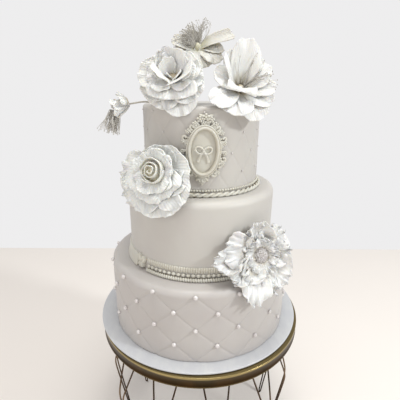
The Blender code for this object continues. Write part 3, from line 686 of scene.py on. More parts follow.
def makeBeadedRope():
    # slanted beads pressed tightly side by side, as a piping tip or a mould leaves them
    look = border
    radius = footRadius("tier_middle") + 0.0029
    height = middleFoot + look["ropeLift"]
    bearings = rowBearings(radius, look["ropePitch"], look["start"], look["end"])
    slant = 0.30
    axes = wallAxes(bearings)
    axes = np.stack([axes[:, 0] + slant * axes[:, 2], axes[:, 1], axes[:, 2] - slant * axes[:, 0]], 1)
    shapes = [beads(wallPoint(bearings, radius, height), look["ropeSize"], axes, 8, 12)]
    bearing = np.linspace(look["start"], look["end"], 240)
    shapes.append(tubes(wallPoint(bearing, radius - 0.0006, height - 0.0004)[None], 0.0018, 8))
    shape = joined(shapes)
    # painted shade on the parts close to the wall, behind and between the beads
    middle = np.hypot(shape[0][:, 0], shape[0][:, 1])
    shape[2]["recess"] = np.clip((radius + 0.0008 - middle) / 0.0012, 0.0, 1.0)
    piece("borderRopeMiddle", shape, moulding, ["border_rope_middle"])


topBorder = {"strands": 2, "pitch": 0.0090, "strandRadius": 0.00165, "beadPitch": 0.0037,
             "beadLift": 0.0079, "beadSize": (0.0018, 0.0015, 0.0015)}


def makeTopBorder():
    # two strands twisted round each other along the foot, under a row of small beads
    look = topBorder
    radius = footRadius("tier_top") + 0.0027
    turns = round(2 * math.pi * radius / look["pitch"] / 2)
    bearing = np.linspace(0.0, 360.0, 1081)
    shapes = []
    for strand in range(look["strands"]):
        twist = np.radians(bearing) * turns + 2 * np.pi * strand / look["strands"]
        offset = look["strandRadius"] * 0.82
        path = wallPoint(bearing, radius + offset * np.cos(twist), topFoot + 0.0028 + offset * np.sin(twist))
        shapes.append(tubes(path[None], look["strandRadius"], 8))
    shape = joined(shapes)
    # painted shade on the strands' inner sides, towards the wall
    middle = np.hypot(shape[0][:, 0], shape[0][:, 1])
    shape[2]["recess"] = np.clip((radius + 0.0010 - middle) / 0.0016, 0.0, 1.0)
    piece("borderRopeTop", shape, moulding, ["border_rope_top"])
    bearings = rowBearings(radius, look["beadPitch"], 0.0, 360.0)
    centres = wallPoint(bearings, footRadius("tier_top") + 0.0008, topFoot + look["beadLift"])
    shape = beads(centres, look["beadSize"], wallAxes(bearings), 6, 10)
    # painted shade on the beads' inner sides, towards the wall
    middle = np.hypot(shape[0][:, 0], shape[0][:, 1])
    shape[2]["recess"] = np.clip((footRadius("tier_top") + 0.0012 - middle) / 0.0014, 0.0, 1.0)
    piece("borderBeadsTop", shape, moulding)


def makePlainRibbon():
    # a smooth ribbon standing on the ledge, with shallow hanging pleats and a rolled lower edge
    look = {"start": -54.0, "end": -179.0, "height": 0.0178, "foot": 0.0050, "head": 0.0026}
    inner = footRadius("tier_middle")
    bearing = np.linspace(look["start"], look["end"], 300)[:, None]
    share = np.linspace(0.0, 1.0, 22)[None]
    pleat = 0.00045 * np.sin(np.radians(bearing) * 3.1 + share * 2.2) + 0.0003 * np.sin(np.radians(bearing) * 9.0)
    out = look["foot"] + (look["head"] - look["foot"]) * share ** 0.8 + pleat * np.sin(np.pi * share)
    out = out * np.minimum(1.0, (1.001 - share) / 0.06) ** 0.5
    roll = 0.0007 * np.exp(-((share - 0.06) / 0.05) ** 2)
    front = wallPoint(bearing, inner + out + roll, middleFoot + 0.0002 + look["height"] * share)
    back = wallPoint(bearing, inner - 0.0004 + 0 * share, middleFoot + 0.0002 + look["height"] * share)
    ring = np.concatenate([front, back[:, ::-1]], 1)
    rows, columns = ring.shape[:2]
    wall = gridFaces(rows, columns, wrapColumns=True)[:, ::-1]
    caps = [np.arange(columns)[None], ((rows - 1) * columns + np.arange(columns)[::-1])[None]]
    # painted shade along the ribbon's foot, where it stands on the ledge
    recess = np.broadcast_to(np.exp(-(np.concatenate([share, share[:, ::-1]], 1) / 0.03) ** 2), (rows, columns))
    shape = ring.reshape(-1, 3), [wall, *caps], {"recess": recess.reshape(-1) * 0.6}
    piece("borderPlainRibbon", shape, moulding, ["border_plain_ribbon"])


knotShape = {"bearing": -48.0, "height": 0.0100, "folds": [
    {"across": -0.0040, "up": 0.0040, "size": (0.0040, 0.0046, 0.0068), "tilt": 24},
    {"across": 0.0030, "up": 0.0034, "size": (0.0048, 0.0052, 0.0058), "tilt": -38},
    {"across": -0.0008, "up": -0.0036, "size": (0.0062, 0.0056, 0.0056), "tilt": 0},
]}


def makeKnot():
    # the folded knot: two plump folds over a bulb, each a rounded lobe with a crease down its middle
    look = knotShape
    radius = footRadius("tier_middle") + 0.0010
    shapes = []
    for fold in look["folds"]:
        polar = np.linspace(0.02, np.pi - 0.02, 25)[:, None]
        turn = np.linspace(0, 2 * np.pi, 40, endpoint=False)[None]
        crease = 1.0 - 0.16 * np.exp(-((np.sin(turn) - 1.0) / 0.06) ** 2) * np.sin(polar)
        x = fold["size"][0] * np.sin(polar) * np.cos(turn) * crease
        y = fold["size"][1] * np.sin(polar) * np.sin(turn) * crease
        z = fold["size"][2] * np.cos(polar) + 0 * turn
        tilt = math.radians(fold["tilt"])
        across = fold["across"] + x * math.cos(tilt) - z * math.sin(tilt)
        up = fold["up"] + x * math.sin(tilt) + z * math.cos(tilt)
        bearing = look["bearing"] + np.degrees(across / radius)
        points = wallPoint(bearing, radius + y, middleFoot + look["height"] + up)
        rows, columns = points.shape[:2]
        caps = [np.arange(columns)[None], ((rows - 1) * columns + np.arange(columns)[::-1])[None]]
        wall = gridFaces(rows, columns, wrapColumns=True)[:, ::-1]
        # painted shade in the crease down each fold
        recess = np.clip((1.0 - crease) * 5.0, 0, 1) + 0 * x
        shapes.append((points.reshape(-1, 3), [wall, *caps], {"recess": recess.reshape(-1) * 0.7}))
    piece("borderRosette", joined(shapes), moulding, ["border_rosette"])


makeRibbedBand()
makePearlString()
makeBeadedRope()
makeTopBorder()
makePlainRibbon()
makeKnot()
print("borders made")


# Cameo. Places on it are (across, up, out) from the middle of its oval, wrapped on the top tier's wall.

plaqueLow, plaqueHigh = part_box("cameo_plaque")
cameo = {"bearing": 2.0, "height": (plaqueLow.z + plaqueHigh.z) / 2, "tilt": -3.0,
         "halfWidth": 0.0170, "halfHeight": 0.0280, "relief": 0.0050}


def onCameo(across, up, out):
    tilt = math.radians(cameo["tilt"])
    across, up = across * math.cos(tilt) - up * math.sin(tilt), across * math.sin(tilt) + up * math.cos(tilt)
    radius = footRadius("tier_top")
    return wallPoint(cameo["bearing"] + np.degrees(across / radius), radius + out, cameo["height"] + up)


def makeOvalMoulding():
    # the oval ring: a fat outer roll and a finer inner bead, swept once round
    section = [(-0.0025, -0.0004), (-0.0026, 0.0024), (-0.0020, 0.0050), (-0.0008, 0.0062), (0.0005, 0.0056),
               (0.0011, 0.0041), (0.0016, 0.0046), (0.0024, 0.0049), (0.0031, 0.0037), (0.0034, 0.0018),
               (0.0034, -0.0004)]
    offset, out = np.array(section).T
    angle = np.linspace(0, 2 * np.pi, 160, endpoint=False)[:, None]
    points = onCameo((cameo["halfWidth"] + offset) * np.cos(angle),
                     (cameo["halfHeight"] + offset) * np.sin(angle), out + 0 * angle)
    rows, columns = points.shape[:2]
    # painted shade at the ring's two feet and in the groove between the roll and the bead
    recess = np.broadcast_to([0.9, 0.6, 0.2, 0, 0, 0.8, 0.2, 0, 0, 0.4, 0.8], (rows, columns)).reshape(-1)
    faces = [gridFaces(rows, columns, wrapRows=True, wrapColumns=True)]
    piece("cameoOval", (points.reshape(-1, 3), faces, {"recess": recess}), moulding, ["cameo_frame"])


def scroll(centre, size, turns, start, mirror=1.0, thick=0.0019, rise=0.0026):
    # a C-scroll: a spiral that winds in and thins towards its eye, which stands proudest
    share = np.linspace(0.0, 1.0, 40)
    angle = math.radians(start) + 2 * np.pi * turns * share
    reach = size * (1.0 - 0.78 * share)
    across = centre[0] + mirror * (reach * np.cos(angle) - size * math.cos(math.radians(start)))
    up = centre[1] + reach * np.sin(angle) - size * math.sin(math.radians(start))
    path = onCameo(across, up, rise * (0.45 + 0.55 * share))
    radii = thick * np.sqrt(np.clip(np.minimum(share / 0.10, 1.0), 0.05, 1)) * (1.0 - 0.45 * share)
    wall = tubes(path[None], radii, 10, wallPoint(cameo["bearing"], 1.0, 0.0))
    eye = beads(path[-1:], (0.0016, 0.0016, 0.0016), None, 8, 12)
    return joined([wall, eye])


def leaf(root, tip, width, rise=0.0032):
    # a pointed leaf with a ridge down its middle, lying on the wall
    along = np.linspace(0.0, 1.0, 14)[:, None]
    turn = np.linspace(0, 2 * np.pi, 12, endpoint=False)[None]
    root, tip = np.array(root), np.array(tip)
    way = tip - root
    side = np.array([-way[1], way[0]]) / np.hypot(*way)
    half = width * np.sin(np.pi * along ** 0.8) ** 0.8 + 0.00008
    across = root[0] + way[0] * along + side[0] * half * np.cos(turn)
    up = root[1] + way[1] * along + side[1] * half * np.cos(turn)
    out = rise * 0.5 + rise * 0.5 * np.sin(turn) * np.sin(np.pi * along ** 0.8) ** 0.5 + 0.0004 * np.cos(4 * turn)
    points = onCameo(across, up, out)
    rows, columns = points.shape[:2]
    caps = [np.arange(columns)[None], ((rows - 1) * columns + np.arange(columns)[::-1])[None]]
    return points.reshape(-1, 3), [gridFaces(rows, columns, wrapColumns=True)[:, ::-1], *caps], {}


def floret(centre, size, petals=5, out=0.0030):
    # a button flower: round petals about a bead
    turn = 2 * np.pi * (np.arange(petals) + 0.25) / petals
    spots = onCameo(centre[0] + size * np.cos(turn), centre[1] + size * np.sin(turn), out + 0 * turn)
    eye = onCameo(np.array([centre[0]]), np.array([centre[1]]), out + 0.0010)
    sizes = np.array([[size * 0.58, size * 0.58, size * 0.58]] * petals)
    return joined([beads(spots, sizes, None, 6, 10), beads(eye, (size * 0.5,) * 3, None, 6, 10)])


def makeScrollwork():
    # crown of florets and scrolls at the top, paired scrolls and leaves down both sides, a drop below
    wide, tall = cameo["halfWidth"] + 0.0030, cameo["halfHeight"] + 0.0030
    shapes = []
    for mirror in (1.0, -1.0):
        for angle, size, turns, start in (
                (74, 0.0046, 0.85, 200), (52, 0.0038, 0.8, 240), (26, 0.0046, 0.85, 200), (8, 0.0040, 0.8, 300),
                (-12, 0.0046, 0.85, 160), (-34, 0.0040, 0.8, 220), (-58, 0.0038, 0.8, 180)):
            spot = math.radians(angle)
            root = (mirror * wide * math.cos(spot), tall * math.sin(spot))
            shapes.append(scroll(root, size, turns, start, mirror))
        for angle, length in ((40, 0.0080), (16, 0.0088), (-2, 0.0086), (-24, 0.0080), (-46, 0.0066), (64, 0.0070)):
            spot = math.radians(angle)
            root = (mirror * wide * math.cos(spot), tall * math.sin(spot))
            lean = math.radians(angle + 14)
            tip = (root[0] + mirror * length * math.cos(lean), root[1] + length * math.sin(lean))
            shapes.append(leaf(root, tip, 0.0019))
        for angle in range(-70, 84, 14):
            spot = math.radians(angle)
            centre = np.array([mirror * (wide + 0.0012) * math.cos(spot)]), np.array([(tall + 0.0012) * math.sin(spot)])
            shapes.append(beads(onCameo(*centre, 0.0024), (0.0013,) * 3, None, 6, 10))
    crown = tall + 0.0035
    shapes += [floret(centre, size) for centre, size in (
        ((0.0, crown + 0.0050), 0.0028), ((0.0064, crown + 0.0022), 0.0025), ((-0.0064, crown + 0.0022), 0.0025),
        ((0.0116, crown - 0.0030), 0.0022), ((-0.0116, crown - 0.0030), 0.0022), ((0.0024, crown - 0.0010), 0.0019),
        ((-0.0026, crown - 0.0012), 0.0019), ((0.0, crown - 0.0034), 0.0016))]
    shapes += [floret((mirror * (wide + 0.0050) * math.cos(spot), (tall + 0.0050) * math.sin(spot)), 0.0019, 5, 0.0026)
               for mirror in (1.0, -1.0) for spot in np.radians((38, 17, -3, -23, -44))]
    shapes += [leaf((0.002, crown + 0.004), (0.0085, crown + 0.0082), 0.0018),
               leaf((-0.002, crown + 0.004), (-0.0085, crown + 0.0082), 0.0018),
               leaf((0.0, -tall), (0.0, -tall - 0.0105), 0.0030),
               leaf((0.002, -tall), (0.0080, -tall - 0.0050), 0.0022),
               leaf((-0.002, -tall), (-0.0080, -tall - 0.0050), 0.0022)]
    shapes += [scroll((0.0015, -tall - 0.001), 0.0040, 0.8, 60, 1.0),
               scroll((-0.0015, -tall - 0.001), 0.0040, 0.8, 60, -1.0)]
    shape = joined(shapes)
    # painted shade on the low parts, close to the wall, fading out 3 mm above it
    out = np.hypot(shape[0][:, 0], shape[0][:, 1]) - footRadius("tier_top")
    shape[2]["recess"] = np.clip(1.0 - out / 0.0030, 0.0, 1.0) * 0.9
    piece("cameoScrolls", shape, moulding)


def makePlaque():
    # the oval ground inside the ring, gently domed
    share = np.linspace(0.02, 1.0, 14)[:, None]
    turn = np.linspace(0, 2 * np.pi, 96, endpoint=False)[None]
    wide, tall = cameo["halfWidth"] - 0.0010, cameo["halfHeight"] - 0.0010
    dome = 0.0009 - 0.0003 * share ** 2 + 0 * turn
    front = onCameo(wide * share * np.cos(turn), tall * share * np.sin(turn), dome)
    rows, columns = front.shape[:2]
    edge = onCameo(wide * np.cos(turn), tall * np.sin(turn), -0.0004 + 0 * turn)
    points = np.concatenate([front, edge]).reshape(-1, 3)
    # painted shade round the plaque's rim, under the ring
    recess = np.concatenate([np.repeat(np.clip((share[:, 0] - 0.8) * 3, 0, 0.6), columns), np.full(columns, 0.6)])
    wall = gridFaces(rows + 1, columns, wrapColumns=True)[:, ::-1]
    caps = [np.arange(columns)[None], (rows * columns + np.arange(columns)[::-1])[None]]
    piece("cameoPlaque", (points, [wall, *caps], {"recess": recess}), moulding, ["cameo_plaque"])


def strap(path, width, out, dome=0.0008):
    # a flat ribbon in relief: a low arched band along a path of (across, up)
    path = np.asarray(path, float)
    way = unit(np.gradient(path, axis=0))
    side = np.stack([-way[:, 1], way[:, 0]], -1)
    share = np.linspace(-1, 1, 9)
    place = path[:, None] + side[:, None] * share[:, None] * np.asarray(width)[:, None, None]
    height = np.asarray(out)[:, None] + dome * (1 - share ** 2)
    top = onCameo(place[..., 0], place[..., 1], height)
    low = onCameo(place[..., 0], place[..., 1], height * 0 + 0.0008)
    ring = np.concatenate([top, low[:, ::-1]], 1)
    rows, columns = ring.shape[:2]
    caps = [np.arange(columns)[None, ::-1], ((rows - 1) * columns + np.arange(columns))[None]]
    return ring.reshape(-1, 3), [gridFaces(rows, columns, wrapColumns=True), *caps], {}


def makeReliefBow():
    # a ribbon bow in relief: two folded loops, two forked tails and a knot
    shapes = []
    turn = np.linspace(0.25, 2 * np.pi - 0.25, 40)
    for mirror in (1.0, -1.0):
        loop = np.stack([mirror * 0.0048 * (1 - np.cos(turn)), 0.0040 * np.sin(turn) + 0.0012 * (1 - np.cos(turn))], -1)
        shapes.append(strap(loop, 0.0011 + 0 * turn, 0.0026 + 0.0008 * np.cos(turn / 2) ** 2))
        share = np.linspace(0, 1, 24)
        tail = np.stack([mirror * (0.0012 + 0.0052 * share ** 0.8), -0.0005 - 0.0125 * share], -1)
        shapes.append(strap(tail, 0.0012 + 0.0009 * share, 0.0024 + 0.0006 * np.sin(share * 6)))
    knot = onCameo(np.array([0.0]), np.array([0.0]), 0.0030)
    shapes.append(beads(knot, (0.0019, 0.0017, 0.0021), None, 10, 14))
    piece("cameoBow", joined(shapes), moulding, ["cameo_bow"])


makeOvalMoulding()
makeScrollwork()
makePlaque()
makeReliefBow()
print("cameo made")


# Flowers. A flower has a base, an axis it opens along, and petals about it: bearing 0 is to the right of the
# flower and 90 is up, as seen from its front.

def facing(base, axis):
    # rows are the flower's right, up and forward directions; the last value is its base
    forward = unit(np.asarray(axis, float))
    right = unit(np.array([1.0, 0.0, 0.0]) - forward * forward[0])
    return np.stack([right, np.cross(forward, right), forward]), np.asarray(base, float)


def shell(sheet, uv, thick):
    # a sheet of (row, column, xyz) given a front and a back along its normals, closed round its rim
    rows, columns = sheet.shape[:2]
    normal = unit(np.cross(np.gradient(sheet, axis=1), np.gradient(sheet, axis=0)))
    front, back = sheet + normal * thick[..., None] / 2, sheet - normal * thick[..., None] / 2
    points = np.concatenate([front.reshape(-1, 3), back.reshape(-1, 3)])
    wall = gridFaces(rows, columns)
    index = np.arange(rows * columns).reshape(rows, columns)
    rim = np.concatenate([index[0], index[1:, -1], index[-1, -2::-1], index[-2:0:-1, 0]])
    after = np.roll(rim, -1)
    size = rows * columns
    strip = np.stack([rim, rim + size, after + size, after], -1)
    faces = np.concatenate([wall[:, ::-1], wall + size, strip])
    return points, [faces], {"uv": np.concatenate([uv.reshape(-1, 2)] * 2)}


plainPetal = {"lean": 50, "fall": 90, "roll": 0, "cup": 0.25, "round": 0.45, "bulge": 0.8, "neck": 0.14,
              "ripple": 0.0014, "waves": 2.6, "depth": 0.012, "fine": 0.3, "scallop": 0.012, "thick": 0.0007,
              "rim": 0.0002, "root": 0.004, "start": 0.0, "tone": 0.0, "rows": 25, "columns": 37}


def edgedThickness(look, inward):
    # the sheet thins out over the last half millimetre, where a bead of radius rim runs round its edge
    bead = np.sqrt(np.clip(1.0 - (inward / 0.0009 - 1.0) ** 2, 0.0, 1.0))
    bead = np.where(inward < 0.0009, bead, np.exp(-((inward - 0.0009) / 0.0009) ** 2))
    return look["thick"] * (0.35 + 0.65 * np.clip(inward / 0.0005, 0.0, 1.0)) + 2.0 * look["rim"] * bead


def slopeAt(look, along):
    # a petal's angle away from the flower's axis, from its root at 0 to its lip at 1
    roll = look["roll"] * np.clip((along - 0.65) / 0.35, 0.0, 1.0) ** 2
    return np.radians(look["lean"] + (look["fall"] - look["lean"]) * along + roll)


def petal(look, place):
    # a fan whose lip is the arc of an ellipse. Each line from root to lip bends from the slope lean to the
    # slope fall, with a roll added over its last third. The sheet is lifted by a cup, the square of the way
    # across, and by ripples that run round its edge and die out at the given depth inside it.
    look = {**plainPetal, **look}
    along = 1.0 - (1.0 - np.linspace(0.0, 1.0, look["rows"])[:, None]) ** 1.6
    across = np.sin(np.linspace(-0.5, 0.5, look["columns"]) * math.pi)[None]
    phase = look.get("phase", 0.11 * look["bearing"])
    lip = np.sqrt(1.0 - across ** 2)
    notches = np.sin(look["waves"] * math.pi * across + phase)
    notches += 0.8 * np.sin(look["waves"] * 8.5 * across + 2 * phase)
    length = look["length"] * (1.0 - look["round"] * (1.0 - lip) + look["scallop"] * lip * notches)
    middle = slopeAt(look, (along[1:] + along[:-1]) / 2)
    steps = np.diff(along, axis=0)
    reach = np.concatenate([[[0.0]], np.cumsum(np.sin(middle) * steps, 0)])
    climb = np.concatenate([[[0.0]], np.cumsum(np.cos(middle) * steps, 0)])
    swell = np.sin(math.pi / 2 * along ** look["bulge"])
    half = 0.5 * look["width"] * (look["neck"] + (1 - look["neck"]) * swell)
    inward = np.minimum((1.0 - along) * length, (1.0 - np.abs(across)) * 1.6 * half)
    turn = look["waves"] * math.pi * np.arctan2(across, along - 0.35)
    wave = np.exp(-(inward / look["depth"]) ** 1.5) * along * look["ripple"]
    side = across * half + 0.5 * wave * np.cos(turn + phase)
    frill = np.sin(turn + phase) + look["fine"] * np.sin(2.7 * turn + 2 * phase)
    lift = look["cup"] * across ** 2 * half + wave * frill
    angle = slopeAt(look, along)
    out = look["root"] + length * reach - lift * np.cos(angle)
    rise = look["start"] + length * climb + lift * np.sin(angle)
    bearing = math.radians(look["bearing"])
    local = np.stack([out * math.cos(bearing) - side * math.sin(bearing),
                      out * math.sin(bearing) + side * math.cos(bearing), rise], -1)
    # tone and the second uv value set how much of the warm colour, partly painted shade of the flower's heart, the
    # petal takes towards its root
    tone = look["tone"] + (1.0 - look["tone"]) * along
    uv = np.stack(np.broadcast_arrays(0.5 + 0.5 * across + 0.13 * look["bearing"], tone), -1)
    axes, base = place
    return shell(local @ axes + base, uv, edgedThickness(look, inward))


plainWrap = {"foot": 0.005, "lip": 0.010, "spiral": 0.0, "start": 0.0, "height": 0.02, "belly": 0.001, "flare": 0.0,
             "dip": 0.4, "tip": 0.0, "ruffle": 0.0004, "thick": 0.0008, "rim": 0.0003, "tone": 0.25,
             "lipTone": 0.8, "rows": 22, "columns": 37}


def wrap(look, place):
    # a petal wound round the flower's axis: its radius goes from foot to lip and tightens along the wrap, and
    # its lip flares out at the end
    look = {**plainWrap, **look}
    along = 1.0 - (1.0 - np.linspace(0.0, 1.0, look["rows"])[:, None]) ** 1.6
    across = np.sin(np.linspace(-0.5, 0.5, look["columns"]) * math.pi)[None]
    bearing = np.radians(look["bearing"] + look["wrap"] / 2 * across)
    ruffle = look["ruffle"] * np.sin(9.0 * across + look["bearing"]) * along ** 4
    radius = look["foot"] + (look["lip"] - look["foot"]) * along ** 1.5 + look["spiral"] * across * along
    radius = radius + look["belly"] * np.sin(np.pi * along) + look["flare"] * along ** 5 + ruffle
    height = look["height"] * along * (1.0 - look["dip"] * np.abs(across) ** 3) + ruffle
    height = look["start"] + height + look["tip"] * np.exp(-(across / 0.35) ** 2) * along ** 3
    local = np.stack([radius * np.cos(bearing), radius * np.sin(bearing), height + 0 * bearing], -1)
    # tone and lipTone set how much of the warm colour, partly painted shade of the flower's heart, the wrap takes from
    # foot to lip
    tone = look["tone"] + (look["lipTone"] - look["tone"]) * along
    uv = np.stack(np.broadcast_arrays(0.5 + 0.5 * across + 0.13 * look["bearing"], tone), -1)
    inward = np.minimum((1.0 - along) * look["height"], (1.0 - np.abs(across)) * 1.2 * look["lip"])
    axes, base = place
    return shell(local @ axes + base, uv, edgedThickness(look, inward))


def heart(size, centre, place, tone=0.1):
    # the small dome under the petals, whose low tone gives it the warm colour, partly painted shade, of the flower's
    # heart
    axes, base = place
    points, faces, extra = beads([(0.0, 0.0, centre)], size, None, 12, 18)
    return points @ axes + base, faces, {"uv": np.tile([0.5, tone], (len(points), 1))}


def stamens(place, look):
    # filaments that fan out from the flower's heart and bend over, each with a grain at its tip
    random = np.random.default_rng(look["seed"])
    count, stations = look["count"], 12
    share = np.linspace(0.0, 1.0, stations)
    turn = random.uniform(*np.radians(look["bearings"]), count)
    tilt = np.radians(look["tilt"]) + np.radians(look["spread"]) * random.uniform(-1, 1, count)
    bend = np.radians(look["bend"]) * random.uniform(0.4, 1.2, count)
    length = look["length"] * random.uniform(0.72, 1.08, count)
    slope = tilt[:, None] + bend[:, None] * share[None]
    step = length[:, None] / (stations - 1)
    out = np.cumsum(np.sin(slope) * step, 1) + look["root"] * random.uniform(0.2, 1.0, count)[:, None]
    rise = np.cumsum(np.cos(slope) * step, 1) + look["lift"]
    swirl = turn[:, None] + 0.25 * np.sin(3 * share[None] + 6 * turn[:, None])
    local = np.stack([out * np.cos(swirl), out * np.sin(swirl), rise], -1)
    axes, base = place
    paths = local @ axes + base
    threads = tubes(paths, look["thread"] * (1.0 - 0.4 * share)[None], 5, (0.31, 0.62, 0.72))
    sizes = look["grain"] * random.uniform(0.8, 1.2, (count, 1)) * np.array([[1.0, 1.0, 1.5]])
    grains = beads(paths[:, -1], sizes, None, 5, 7)
    return joined([threads, grains])


peony = {
    "place": facing((-0.0325, -0.0570, 0.5738), (-0.06, -0.83, 0.56)),
    "petals": [
        dict(bearing=176, length=0.038, width=0.042, lean=58, fall=88, cup=0.30),
        dict(bearing=208, length=0.037, width=0.040, lean=64, fall=104),
        dict(bearing=244, length=0.037, width=0.042, lean=68, fall=112),
        dict(bearing=284, length=0.044, width=0.040, lean=72, fall=116),
        dict(bearing=320, length=0.036, width=0.042, lean=64, fall=104),
        dict(bearing=354, length=0.033, width=0.039, lean=58, fall=90),
        dict(bearing=32, length=0.033, width=0.040, lean=48, fall=76),
        dict(bearing=68, length=0.031, width=0.037, lean=42, fall=64),
        dict(bearing=113, length=0.037, width=0.032, lean=38, fall=34, roll=-70, cup=0.45, tone=0.25),
        dict(bearing=145, length=0.031, width=0.037, lean=46, fall=72),
        dict(bearing=198, length=0.029, width=0.040, lean=38, fall=84, roll=28, cup=0.36, start=0.002),
        dict(bearing=270, length=0.031, width=0.055, lean=46, fall=96, roll=26, start=0.002, ripple=0.0026),
        dict(bearing=334, length=0.027, width=0.037, lean=36, fall=76, roll=24, cup=0.36, start=0.002),
        dict(bearing=24, length=0.027, width=0.035, lean=26, fall=58, roll=24, cup=0.36, start=0.002),
        dict(bearing=84, length=0.028, width=0.037, lean=20, fall=38, roll=20, cup=0.36, start=0.002),
        dict(bearing=140, length=0.027, width=0.035, lean=28, fall=54, roll=24, cup=0.36, start=0.002),
    ],
    "petalLook": dict(ripple=0.0018, waves=2.2, scallop=0.010, thick=0.0009, rim=0.0003),
    "wraps": [
        dict(bearing=335, wrap=165, foot=0.0060, lip=0.0200, spiral=0.0030, start=0.002, height=0.027, tone=0.06,
             flare=0.0035, dip=0.45, ruffle=0.0008),
        dict(bearing=205, wrap=120, foot=0.0060, lip=0.0150, spiral=-0.0036, start=0.002, height=0.0262, tone=0.45,
             flare=0.0050, dip=0.50, ruffle=0.0010, rim=0.0007),
        dict(bearing=80, wrap=140, foot=0.0060, lip=0.0185, spiral=0.0024, start=0.002, height=0.0290, tone=0.02,
             flare=0.0020, dip=0.40, ruffle=0.0007),
        dict(bearing=120, wrap=120, foot=0.0040, lip=0.0125, spiral=0.0016, start=0.002, height=0.0250, tone=0.20,
             dip=0.35, ruffle=0.0006),
        dict(bearing=320, wrap=110, foot=0.0030, lip=0.0105, spiral=-0.0018, start=0.002, height=0.0215, tone=0.50,
             flare=0.0020, dip=0.50, ruffle=0.0006, rim=0.0005),
        dict(bearing=230, wrap=100, foot=0.0020, lip=0.0070, spiral=0.0014, start=0.002, height=0.0180, tone=0.05,
             dip=0.45, ruffle=0.0004),
    ],
    "heart": ((0.0060, 0.0060, 0.0070), 0.002),
}
magnolia = {
    "place": facing((0.0450, -0.0480, 0.5634), (0.20, -0.68, 0.70)),
    "petals": [
        dict(bearing=92, length=0.055, width=0.036, lean=24, fall=46, roll=16, cup=0.34, round=0.40),
        dict(bearing=42, length=0.042, width=0.040, lean=34, fall=72),
        dict(bearing=2, length=0.040, width=0.038, lean=48, fall=92),
        dict(bearing=132, length=0.044, width=0.032, lean=30, fall=52, cup=0.35),
        dict(bearing=168, length=0.036, width=0.032, lean=46, fall=84),
        dict(bearing=224, length=0.047, width=0.030, lean=60, fall=104, round=0.35),
        dict(bearing=252, length=0.041, width=0.046, lean=62, fall=112),
        dict(bearing=298, length=0.045, width=0.040, lean=66, fall=118),
        dict(bearing=334, length=0.040, width=0.038, lean=58, fall=106),
        dict(bearing=262, length=0.025, width=0.035, lean=22, fall=60, roll=90, cup=0.42, rim=0.0006, tone=0.25,
             start=0.002),
    ],
    "petalLook": dict(ripple=0.0018, waves=1.8, scallop=0.010, thick=0.0009, rim=0.0003),
    "wraps": [],
    "heart": ((0.0050, 0.0050, 0.0050), 0.002),
}
lily = {
    "place": facing((-0.0055, -0.0240, 0.6105), (0.03, -0.66, 0.75)),
    "petals": [
        dict(bearing=6, length=0.043, width=0.022, lean=58, fall=82, cup=0.60, round=0.22, ripple=0.0006, bulge=0.6),
        dict(bearing=344, length=0.030, width=0.018, lean=66, fall=96, cup=0.40, round=0.40, ripple=0.0006),
        dict(bearing=318, length=0.034, width=0.026, lean=64, fall=112),
        dict(bearing=286, length=0.031, width=0.026, lean=66, fall=118),
        dict(bearing=250, length=0.024, width=0.024, lean=64, fall=112),
        dict(bearing=206, length=0.025, width=0.026, lean=66, fall=100),
        dict(bearing=170, length=0.029, width=0.028, lean=60, fall=86),
        dict(bearing=128, length=0.021, width=0.024, lean=48, fall=70),
    ],
    "petalLook": dict(ripple=0.0014, waves=2.4, scallop=0.014, thick=0.0007),
    "wraps": [],
    "heart": ((0.0036, 0.0036, 0.0052), 0.003),
}
